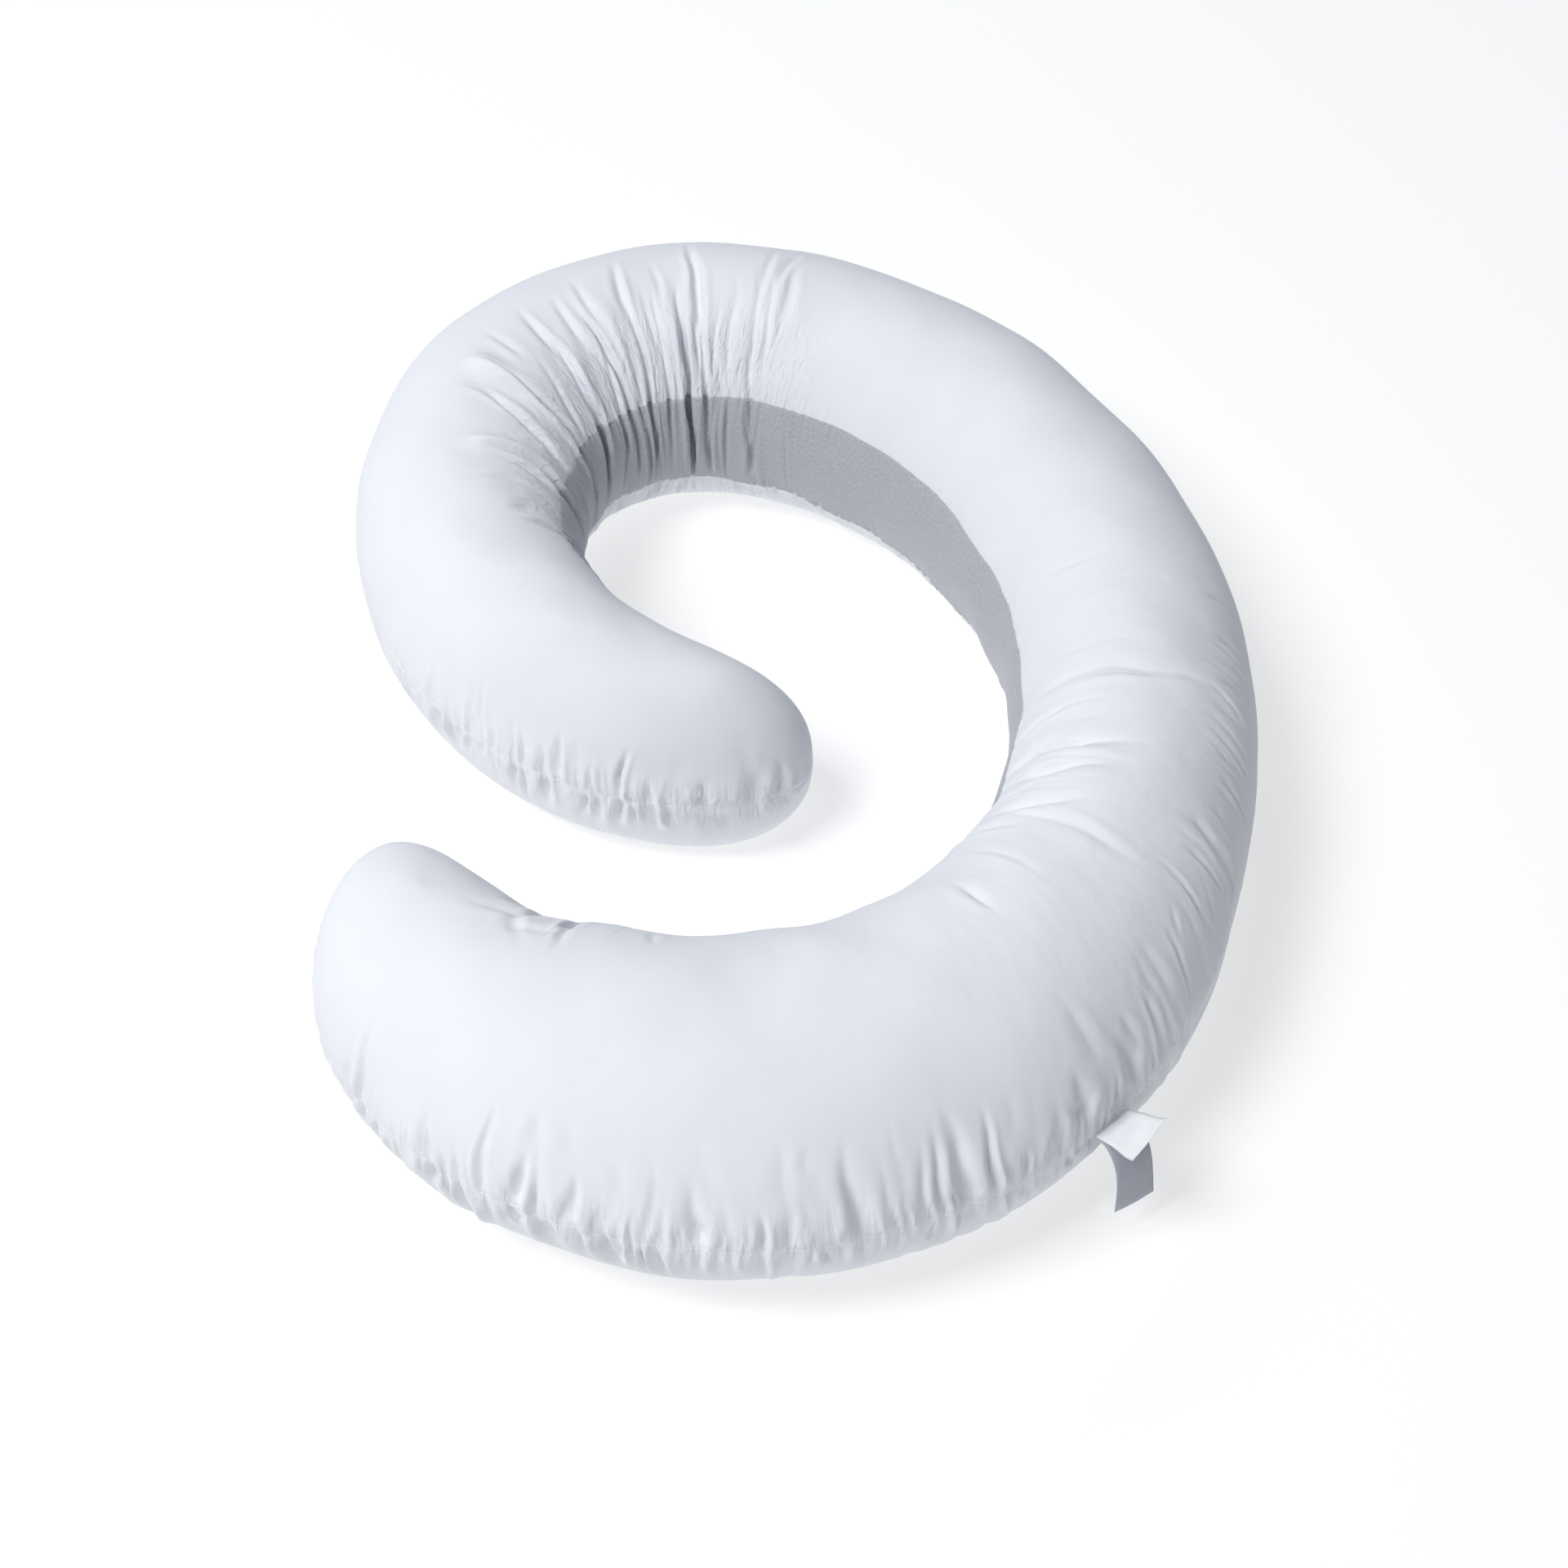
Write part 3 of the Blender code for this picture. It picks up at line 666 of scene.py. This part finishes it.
def closed_tube(name, rings, tips, angle, places):
    """A closed mesh through the rings, with a point at each end and its own cloth coordinates."""
    count, rows = rings.shape[:2]
    first_tip = count * rows
    last = (count - 1) * rows
    faces = []
    spots = []
    banded = []
    upper, lower = band_edges(places)
    turned = np.concatenate((angle, angle[:, :1] + 360), axis=1)
    for i in range(count - 1):
        for j in range(rows):
            k = (j + 1) % rows
            faces.append((i * rows + j, (i + 1) * rows + j, (i + 1) * rows + k, i * rows + k))
            back = 360 if turned[i, j] >= 270 else 0
            near = (turned[i, j] - back, turned[i, j + 1] - back)
            far = (turned[i + 1, j] - back, turned[i + 1, j + 1] - back)
            here, ahead = places[i], places[i + 1]
            spots += [(here, near[0]), (ahead, far[0]), (ahead, far[1]), (here, near[1])]
            middle = (turned[i, j] + turned[i, j + 1]) / 2
            banded.append(upper[i] < middle < lower[i] and BAND_START <= here and ahead <= BAND_END)
    for j in range(rows):
        k = (j + 1) % rows
        faces.append((k, first_tip, j))
        faces.append((last + j, first_tip + 1, last + k))
        back = 360 if turned[0, j] >= 270 else 0
        near = turned[0, j] - back
        far = turned[0, j + 1] - back
        spots += [(places[0], far), (0.0, near), (places[0], near)]
        spots += [(places[-1], near), (LENGTH, near), (places[-1], far)]
        banded += [False, False]
    mesh = bpy.data.meshes.new(name)
    mesh.from_pydata(np.concatenate((rings.reshape(-1, 3), tips)).tolist(), [], faces)
    spots = np.array(spots)
    spots[:, 1] = np.radians(spots[:, 1]) * TYPICAL_RADIUS
    mesh.uv_layers.new(name="Cloth").data.foreach_set("uv", spots.ravel())
    marks = mesh.attributes.new("band", "FLOAT", "FACE")
    marks.data.foreach_set("value", np.array(banded, dtype=float))
    radians = np.radians(angle)
    keep_values(mesh, "along", np.concatenate((np.repeat(places, rows), (0.0, LENGTH))))
    keep_values(mesh, "out", np.concatenate((np.cos(radians).ravel(), (1.0, 1.0))))
    keep_values(mesh, "up", np.concatenate((np.sin(radians).ravel(), (0.0, 0.0))))
    mesh.update()
    piece = bpy.data.objects.new(name, mesh)
    bpy.context.collection.objects.link(piece)
    return piece


class Value:
    """One value in a shader tree, reckoned with like a number."""

    def __init__(self, tree, socket):
        self.tree = tree
        self.socket = socket

    def reckon(self, operation, *values):
        return node(self.tree, "ShaderNodeMath", dict(enumerate(values)), operation=operation)

    def __add__(self, other):
        return self.reckon("ADD", self, other)

    def __radd__(self, other):
        return self.reckon("ADD", other, self)

    def __sub__(self, other):
        return self.reckon("SUBTRACT", self, other)

    def __rsub__(self, other):
        return self.reckon("SUBTRACT", other, self)

    def __mul__(self, other):
        return self.reckon("MULTIPLY", self, other)

    def __rmul__(self, other):
        return self.reckon("MULTIPLY", other, self)

    def size(self):
        return self.reckon("ABSOLUTE", self)

    def fraction(self):
        return self.reckon("FRACT", self)

    def wave(self):
        return self.reckon("SINE", self)

    def ramp(self, low, high, low_value=0.0, high_value=1.0):
        """A smooth step between two values."""
        values = {0: self, 1: low, 2: high, 3: low_value, 4: high_value}
        return node(self.tree, "ShaderNodeMapRange", values, interpolation_type="SMOOTHSTEP")


def node(tree, kind, values, output=0, **settings):
    """Adds a node: its settings first, then its values and links. Gives one of its outputs."""
    made = tree.nodes.new(kind)
    for name, value in settings.items():
        setattr(made, name, value)
    for name, value in values.items():
        if isinstance(value, Value):
            tree.links.new(value.socket, made.inputs[name])
        else:
            made.inputs[name].default_value = value
    return Value(tree, made.outputs[output])


def mixed(tree, factor, first, second):
    """Two colours mixed by a factor. The Mix node has these sockets for colours."""
    return node(tree, "ShaderNodeMix", {0: factor, 6: first, 7: second}, 2, data_type="RGBA")


def opaque(colour, share=1.0):
    """A colour with its alpha, made darker or lighter by a share."""
    return tuple(part * share for part in colour) + (1.0,)


def cloth_material(name, roughness, sheen):
    """A new material of one Principled shader, its tree, and the piece's own cloth coordinates."""
    material = bpy.data.materials.new(name)
    material.use_nodes = True
    tree = material.node_tree
    shader = tree.nodes["Principled BSDF"]
    shader.inputs["Roughness"].default_value = roughness
    shader.inputs["Specular IOR Level"].default_value = 0.25
    shader.inputs["Sheen Weight"].default_value = sheen
    shader.inputs["Sheen Roughness"].default_value = 0.5
    place = node(tree, "ShaderNodeUVMap", {}, uv_map="Cloth")
    first, second = (node(tree, "ShaderNodeSeparateXYZ", {"Vector": place}, i) for i in (0, 1))
    return material, tree, shader, place, first, second


def bumped(tree, shader, height, distance, strength=1.0):
    """Gives the shader a bump from a height."""
    values = {"Height": height, "Distance": distance, "Strength": strength}
    tree.links.new(node(tree, "ShaderNodeBump", values).socket, shader.inputs["Normal"])


def stretched_noise(tree, place, across, round_tube, detail, turn=0.0):
    """Noise on the cloth coordinates, so many waves a metre along the tube and round it."""
    spot = node(tree, "ShaderNodeMapping", {"Vector": place, "Rotation": (0, 0, turn),
                                            "Scale": (across, round_tube, 1)})
    values = {"Vector": spot, "Scale": 1.0, "Detail": detail, "Roughness": 0.5}
    return node(tree, "ShaderNodeTexNoise", values, noise_dimensions="2D")


def ridges(noise, sharpness):
    """Thin creases where a noise crosses its middle."""
    crossing = 1.0 - (noise - 0.5).size() * sharpness
    return crossing.ramp(0.0, 1.0)


def within(along, stretch):
    """1 inside a stretch of the tube, falling to 0 at its two ends."""
    begins, full, still_full, ends = stretch
    return along.ramp(begins, full) * along.ramp(ends, still_full)


def beside(round_tube, side):
    """1 beside a line along the tube, falling to 0 away from it."""
    middle, reach, full_within = side
    return (round_tube - middle).size().ramp(reach, full_within)


def cotton_material(colours):
    """White percale: fine puckers by the seams, soft creases, a stitched line with a painted highlight
    along it, and a close weave.
    """
    material, tree, shader, place, along, round_tube = cloth_material("White percale", 0.80, 0.10)
    by_seam = beside(round_tube, SEAM_SIDE)
    by_band = beside(round_tube, BEND_SIDE) * within(along, BEND_STRETCH)
    on_arm = beside(round_tube, ARM_SIDE) * within(along, ARM_STRETCH)
    puckers = stretched_noise(tree, place, 105, 20, 2.0)
    crinkles = stretched_noise(tree, place, 80, 34, 2.5, 0.6)
    fine = ridges(stretched_noise(tree, place, 95, 15, 1.0), 7.0)
    slanted = stretched_noise(tree, place, 46, 24, 3.0, 0.5)
    broad = stretched_noise(tree, place, 22, 14, 3.0)
    weave = (along * COTTON_THREADS).wave() * (round_tube * COTTON_THREADS).wave()
    height = puckers * by_seam * PUCKER_BUMP + crinkles * by_band * CRINKLE_BUMP
    height = height + fine * (by_seam + by_band * 0.3) * FINE_BUMP
    height = height + ridges(crinkles, 7.0) * by_band * SHARP_BUMP
    height = height + slanted * (on_arm * SLANTED_ARM_BUMP + SLANTED_BUMP)
    height = height + broad * BROAD_BUMP + weave * WEAVE_BUMP
    dash = (along * STITCHES).fraction().ramp(*STITCH_GAP, 1.0, 0.0)
    stitch_line_and_highlight = beside(round_tube, STITCH_SIDE) * (STITCH_TROUGH + dash * (1 - STITCH_TROUGH))
    height = height + stitch_line_and_highlight * STITCH_BUMP
    bumped(tree, shader, height, 1.0, 0.6)
    shade = mixed(tree, broad.ramp(0.3, 0.7), opaque(colours.cotton, 0.985), opaque(colours.cotton))
    # Paints the stitched seam line lighter than the cotton: a painted highlight along the seam's ridge,
    # strongest on the stitches
    seam_highlighted = mixed(tree, stitch_line_and_highlight, shade, opaque(colours.cotton, SEAM_HIGHLIGHT_BRIGHTNESS))
    tree.links.new(seam_highlighted.socket, shader.inputs["Base Color"])
    return material


def knit_material(colours):
    """Grey marled knit with fine ribs across the band."""
    material, tree, shader, place, along, round_tube = cloth_material("Grey knit", 0.92, 0.2)
    ribs = (along * KNIT_RIBS[0]).wave() * (round_tube * KNIT_RIBS[1]).wave()
    marl = stretched_noise(tree, place, 420, 260, 2.0)
    pleats = stretched_noise(tree, place, 110, 12, 1.5)
    in_bend = within(along, BEND_STRETCH)
    height = ribs * 0.00010 + marl * 0.0003 + pleats * (in_bend * 0.0010 + 0.0004)
    bumped(tree, shader, height, 1.0, 0.6)
    colour = mixed(tree, marl.ramp(0.32, 0.70), opaque(colours.knit, 0.90), opaque(colours.knit, 1.10))
    tree.links.new(colour.socket, shader.inputs["Base Color"])
    return material


def satin_material(name, colour):
    """Satin ribbon with a fine weave across it."""
    material, tree, shader, place, along, out = cloth_material(name, 0.45, 0.05)
    threads = (out * SATIN_THREADS).wave()
    hem = out.ramp(0.0012, 0.0018) * along.ramp(0.0006, 0.0012)
    soft = stretched_noise(tree, place, 60, 60, 1.0)
    bumped(tree, shader, threads * 0.00002 + soft * 0.0006 + hem * 0.0001, 1.0, 0.5)
    tone = mixed(tree, soft.ramp(0.3, 0.7), opaque(colour, 0.96), opaque(colour))
    tree.links.new(tone.socket, shader.inputs["Base Color"])
    return material


def alone(piece):
    """Selects one piece and makes it active, with everything else left unselected."""
    bpy.ops.object.select_all(action="DESELECT")
    piece.select_set(True)
    bpy.context.view_layer.objects.active = piece


def applied(piece, kind, name, **settings):
    """Adds a modifier to a piece and applies it."""
    modifier = piece.modifiers.new(name, kind)
    for setting, value in settings.items():
        setattr(modifier, setting, value)
    alone(piece)
    bpy.ops.object.modifier_apply(modifier=modifier.name)


def smoothed(piece):
    """Shades a piece smooth."""
    alone(piece)
    bpy.ops.object.shade_smooth()


def read_points(mesh, store="vertices", field="co"):
    """The places of a mesh's vertices, or their normals."""
    data = getattr(mesh, store)
    values = np.empty(len(data) * 3)
    data.foreach_get(field, values)
    return values.reshape(-1, 3)


def write_points(mesh, points):
    """Moves a mesh's vertices to the given points."""
    mesh.vertices.foreach_set("co", np.ascontiguousarray(points).ravel())
    mesh.update()


def keep_values(mesh, name, values):
    """Stores one number for each vertex, so that the subdivision carries it along."""
    layer = mesh.attributes.new(name, "FLOAT", "POINT")
    layer.data.foreach_set("value", np.ascontiguousarray(values))


def kept_values(mesh, name):
    """Reads the numbers stored for the vertices."""
    values = np.empty(len(mesh.vertices))
    mesh.attributes[name].data.foreach_get("value", values)
    return values


def cover_rings(places, angle, sizes):
    """The cover's rings of points, with its seams and main folds."""
    along = places[:, None]
    return skin(along, angle) - skin_normal(along, angle) * cover_relief(along, angle, sizes)[..., None]


def settled(piece, cut, sizes):
    """How far each point of a cover moves, when the cut cover settles under the filling's pressure."""
    start = read_points(piece.data)
    piece.shape_key_add(name="Basis")
    rest = piece.shape_key_add(name="Cut shape")
    rest.data.foreach_set("co", np.ascontiguousarray(cut).ravel())
    group = piece.vertex_groups.new(name="Held")
    held = np.clip((FREE_ABOVE - start[:, 2]) / (FREE_ABOVE - HELD_BELOW), 0, 1)
    for index in np.flatnonzero(held > 0):
        group.add([int(index)], float(held[index]), "REPLACE")
    modifier = piece.modifiers.new("Settling", "CLOTH")
    cloth = modifier.settings
    cloth.rest_shape_key = rest
    for name, value in PERCALE.items():
        setattr(cloth, name, value)
    cloth.use_pressure = True
    cloth.uniform_pressure_force = sizes.pressure
    cloth.vertex_group_mass = group.name
    cloth.effector_weights.gravity = 0
    modifier.collision_settings.use_collision = False
    modifier.point_cache.frame_end = SIMULATED_FRAMES + 1
    for number in range(1, SIMULATED_FRAMES + 1):
        bpy.context.scene.frame_set(number)
    seen = piece.evaluated_get(bpy.context.evaluated_depsgraph_get())
    moved = read_points(seen.data) - start
    bpy.context.scene.frame_set(1)
    far = np.linalg.norm(moved, axis=1, keepdims=True)
    moved *= MOVEMENT_CAP * np.tanh(far / MOVEMENT_CAP) / np.maximum(far, TINY)
    return moved


def settling(places, rings, sizes):
    """How far the settling moves each ring of the cover. It is worked out on a coarser cut of it."""
    cut_places = ring_places(2)
    angle = row_angles(cut_places)
    lying = cover_rings(cut_places, angle, sizes)
    tips = skin(np.array((0.0, LENGTH)), np.zeros(2))
    cut = cut_shape(cut_places, lying)
    shift = (cut - lying).mean(axis=1)
    coarse = closed_tube("cut_cover", lying, tips, angle, cut_places)
    moved = settled(coarse, np.concatenate((cut.reshape(-1, 3), tips + shift[[0, -1]])), sizes)
    bpy.data.objects.remove(coarse, do_unlink=True)
    moved = moved[:-2].reshape(lying.shape)
    moved = spline(cut_places, moved.reshape(len(cut_places), -1), places).reshape(rings.shape)
    moved[..., 2] = np.maximum(moved[..., 2], -rings[..., 2])
    return moved


class PILLOW_OT_filled_cover(bpy.types.Operator):
    """Builds the filled cotton cover, lets it settle, and gathers its seams"""
    bl_idname = "pillow.filled_cover"
    bl_label = "Filled cover"

    def execute(self, context):
        sizes = context.scene.pillow_sizes
        places = ring_places(1)
        angle = row_angles(places)
        rings = cover_rings(places, angle, sizes)
        tips = skin(np.array((0.0, LENGTH)), np.zeros(2))
        moved = settling(places, rings, sizes)
        rings += moved
        tips += moved[[0, -1]].mean(axis=1)
        cover = closed_tube("filled_cover", rings, tips, angle, places)
        applied(cover, "SUBSURF", "Finer cloth", levels=1, render_levels=1, use_limit_surface=False)
        self.gather(cover.data, sizes)
        smoothed(cover)
        cover.data.materials.clear()
        cover.data.materials.append(cotton_material(context.scene.pillow_colours))
        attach(cover, "root")
        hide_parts("filled_body")
        return {"FINISHED"}

    def gather(self, mesh, sizes):
        """Presses the small puckers in, square to the settled cloth."""
        along = kept_values(mesh, "along")
        angle = np.degrees(np.arctan2(kept_values(mesh, "up"), kept_values(mesh, "out"))) % 360
        arc = arc_of(angle)
        points = read_points(mesh)
        normals = read_points(mesh, "vertex_normals", "vector")
        depth = sizes.pucker_strength * pressed(along, arc, scattered_puckers())
        creases = pressed(along, arc, MAIN_FOLDS, CREASE_NARROWING)
        depth += sizes.fold_strength * CREASE_SHARE * creases
        depth = PUCKER_CAP * np.tanh(depth / PUCKER_CAP) * beside_seam(arc)
        depth *= fullness(along) * np.clip((points[:, 2] - PUCKER_START) / PUCKER_GROWTH, 0, 1)
        write_points(mesh, points - normals * depth[:, None])


class PILLOW_OT_inner_band(bpy.types.Operator):
    """Lays the knit band over the settled cover, between its two seams"""
    bl_idname = "pillow.inner_band"
    bl_label = "Inner band"

    def execute(self, context):
        sizes = context.scene.pillow_sizes
        cover = bpy.data.objects["filled_cover"]
        band = bpy.data.objects.new("knit_band", cover.data.copy())
        context.collection.objects.link(band)
        self.cut_out(band.data)
        self.sink(cover.data, sizes.band_thickness + BAND_CLEARANCE)
        applied(band, "SOLIDIFY", "Thickness", thickness=sizes.band_thickness, offset=-1.0)
        smoothed(band)
        band.data.materials.clear()
        band.data.materials.append(knit_material(context.scene.pillow_colours))
        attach(band, "root")
        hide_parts("inner_band")
        return {"FINISHED"}

    def cut_out(self, mesh):
        """Leaves only the faces between the band's two edges."""
        shape = bmesh.new()
        shape.from_mesh(mesh)
        band_face = shape.faces.layers.float.get("band")
        spare = [face for face in shape.faces if face[band_face] < 0.5]
        bmesh.ops.delete(shape, geom=spare, context="FACES")
        shape.to_mesh(mesh)
        shape.free()

    def sink(self, mesh, depth):
        """Presses the cover in under the band, all but the band's edges."""
        band_face = np.empty(len(mesh.polygons))
        mesh.attributes["band"].data.foreach_get("value", band_face)
        corners = np.empty(len(mesh.loops), dtype=np.int64)
        mesh.loops.foreach_get("vertex_index", corners)
        sizes = np.empty(len(mesh.polygons), dtype=np.int64)
        mesh.polygons.foreach_get("loop_total", sizes)
        outside = np.repeat(band_face < 0.5, sizes)
        under = np.ones(len(mesh.vertices))
        under[corners[outside]] = 0
        normals = read_points(mesh, "vertex_normals", "vector")
        write_points(mesh, read_points(mesh) - normals * (depth * under)[:, None])


def smooth_profile(profile, count):
    """Points evenly along a smooth line through a label's profile."""
    profile = np.array(profile)
    runs = np.concatenate(([0.0], np.cumsum(np.linalg.norm(np.diff(profile, axis=0), axis=1))))
    return spline(runs, profile, np.linspace(0, runs[-1], count)), runs[-1]


def hang_label(name, profile, twist, lift, width, thickness):
    """A ribbon that leaves the outer seam along a profile, turned and lifted a little as it hangs."""
    line, reach = smooth_profile(profile, LABEL_ROWS)
    root = skin(np.array(LABEL_ALONG), np.array(0.0))
    root = root + skin_normal(np.array(LABEL_ALONG), np.array(0.0)) * LABEL_ROOT_LIFT
    ends = skin(np.array((LABEL_ALONG - width / 3, LABEL_ALONG + width / 3)), np.zeros(2))
    straight = (ends[1] - ends[0]) / np.linalg.norm(ends[1] - ends[0])
    outward = np.array((straight[1], -straight[0], 0.0))
    up = np.array((0.0, 0.0, 1.0))
    rows = []
    for i, (out, rise) in enumerate(line):
        share = i / (LABEL_ROWS - 1)
        turn = math.radians(twist) * share**1.5
        side = straight * math.cos(turn) + outward * math.sin(turn)
        across = np.linspace(-0.5, 0.5, LABEL_COLUMNS)
        wave = LABEL_RIPPLE * share * np.cos(across * math.pi * 1.6 + 0.5)
        raised = lift * share**1.3 * (across + 0.5)
        centre = root + outward * out + up * rise
        row = centre + side * (across * width)[:, None] + up * raised[:, None]
        rows.append(row + (up * 0.4 + outward * 0.6) * wave[:, None])
    points = np.array(rows).reshape(-1, 3)
    faces = []
    for i in range(LABEL_ROWS - 1):
        for j in range(LABEL_COLUMNS - 1):
            corner = i * LABEL_COLUMNS + j
            faces.append((corner, corner + 1, corner + LABEL_COLUMNS + 1, corner + LABEL_COLUMNS))
    mesh = bpy.data.meshes.new(name)
    mesh.from_pydata(points.tolist(), [], faces)
    layer = mesh.uv_layers.new(name="Cloth")
    for loop in mesh.loops:
        row, column = divmod(loop.vertex_index, LABEL_COLUMNS)
        layer.data[loop.index].uv = (width * column / (LABEL_COLUMNS - 1), reach * row / (LABEL_ROWS - 1))
    label = bpy.data.objects.new(name, mesh)
    bpy.context.collection.objects.link(label)
    applied(label, "SOLIDIFY", "Thickness", thickness=thickness, offset=0.0)
    smoothed(label)
    return label, reach


class PILLOW_OT_labels(bpy.types.Operator):
    """Sews the two bare labels into the outer seam"""
    bl_idname = "pillow.labels"
    bl_label = "Labels"

    def execute(self, context):
        sizes = context.scene.pillow_sizes
        colours = context.scene.pillow_colours
        pieces = (
            ("front_label", FRONT_LABEL, 0.0, FRONT_LABEL_LIFT, "label_white", "label_front",
             colours.front_label),
            ("back_label", BACK_LABEL, BACK_LABEL_TWIST, 0.0, "label_grey", "label_back",
             colours.back_label),
        )
        for name, profile, twist, lift, slot, stands_for, colour in pieces:
            label, reach = hang_label(name, profile, twist, lift, sizes.label_width, sizes.label_thickness)
            label.data.materials.append(satin_material(name + " satin", colour))
            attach(label, "root")
            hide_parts(stands_for)
        return {"FINISHED"}


def area_light(name, place, aim, size, power, tint):
    """A large soft light turned towards a point."""
    data = bpy.data.lights.new(name, "AREA")
    data.shape = "RECTANGLE"
    data.size, data.size_y = size
    data.energy = power
    data.color = tint
    light = bpy.data.objects.new(name, data)
    bpy.context.collection.objects.link(light)
    light.location = place
    back = mathutils.Vector(place) - mathutils.Vector(aim)
    light.rotation_mode = "QUATERNION"
    light.rotation_quaternion = back.to_track_quat("Z", "Y")


def pale_horizon(tree):
    """Dim bluish light from above, and a pale even horizon where the floor ends."""
    height = node(tree, "ShaderNodeSeparateXYZ", {"Vector": node(tree, "ShaderNodeTexCoord", {})}, 2)
    strength = height.ramp(0.0, HORIZON_TOP, HORIZON_STRENGTH, WORLD_STRENGTH)
    tint = mixed(tree, height.ramp(0.0, HORIZON_TOP), (1.0, 1.0, 1.0, 1.0), WORLD_COLOUR)
    tree.links.new(tint.socket, tree.nodes["Background"].inputs["Color"])
    tree.links.new(strength.socket, tree.nodes["Background"].inputs["Strength"])


class PILLOW_OT_stage(bpy.types.Operator):
    """Makes the pale floor, the soft studio lights and the photograph's camera"""
    bl_idname = "pillow.stage"
    bl_label = "Stage"

    def execute(self, context):
        bpy.ops.object.select_all(action="DESELECT")
        bpy.ops.mesh.primitive_plane_add(size=FLOOR_SIZE, location=(0, 0, FLOOR_LEVEL))
        floor = context.active_object
        floor.name = "studio_floor"
        paint = bpy.data.materials.new("studio_floor")
        paint.use_nodes = True
        shader = paint.node_tree.nodes["Principled BSDF"]
        shader.inputs["Base Color"].default_value = opaque(context.scene.pillow_colours.floor)
        shader.inputs["Roughness"].default_value = 0.9
        shader.inputs["Specular IOR Level"].default_value = 0.1
        shader.inputs["Emission Color"].default_value = (1.0, 1.0, 1.0, 1.0)
        shader.inputs["Emission Strength"].default_value = FLOOR_GLOW
        floor.data.materials.append(paint)
        for name, place, aim, size, power, tint in LIGHTS:
            area_light(name, place, aim, size, power, tint)
        world = bpy.data.worlds.new("Studio")
        world.use_nodes = True
        pale_horizon(world.node_tree)
        context.scene.world = world
        data = bpy.data.cameras.new("Camera")
        data.lens = CAMERA_LENS
        data.sensor_width = SENSOR_WIDTH
        camera = bpy.data.objects.new("Camera", data)
        context.collection.objects.link(camera)
        camera.location = CAMERA_PLACE
        camera.rotation_euler = (math.radians(90 - CAMERA_ELEVATION), 0, 0)
        context.scene.camera = camera
        context.scene.view_settings.view_transform = "Standard"
        return {"FINISHED"}


class PILLOW_PT_parts(bpy.types.Panel):
    """Lists the pillow's pieces, sizes and colours"""
    bl_idname = "PILLOW_PT_parts"
    bl_label = "Full-body pillow"
    bl_space_type = "VIEW_3D"
    bl_region_type = "UI"
    bl_category = "Pillow"

    def draw(self, context):
        for group in (context.scene.pillow_sizes, context.scene.pillow_colours):
            box = self.layout.box()
            for name in group.bl_rna.properties.keys():
                if name not in ("rna_type", "name"):
                    box.prop(group, name)
        for piece in PIECES:
            self.layout.operator(piece.bl_idname)


PIECES = (PILLOW_OT_filled_cover, PILLOW_OT_inner_band, PILLOW_OT_labels, PILLOW_OT_stage)
CLASSES = (PillowSizes, PillowColours) + PIECES + (PILLOW_PT_parts,)


def register():
    for item in CLASSES:
        bpy.utils.register_class(item)
    bpy.types.Scene.pillow_sizes = bpy.props.PointerProperty(type=PillowSizes)
    bpy.types.Scene.pillow_colours = bpy.props.PointerProperty(type=PillowColours)


def unregister():
    del bpy.types.Scene.pillow_colours
    del bpy.types.Scene.pillow_sizes
    for item in reversed(CLASSES):
        bpy.utils.unregister_class(item)


def main():
    register()
    bpy.ops.pillow.filled_cover()
    bpy.ops.pillow.inner_band()
    bpy.ops.pillow.labels()
    bpy.ops.pillow.stage()


if __name__ == "__main__":
    main()
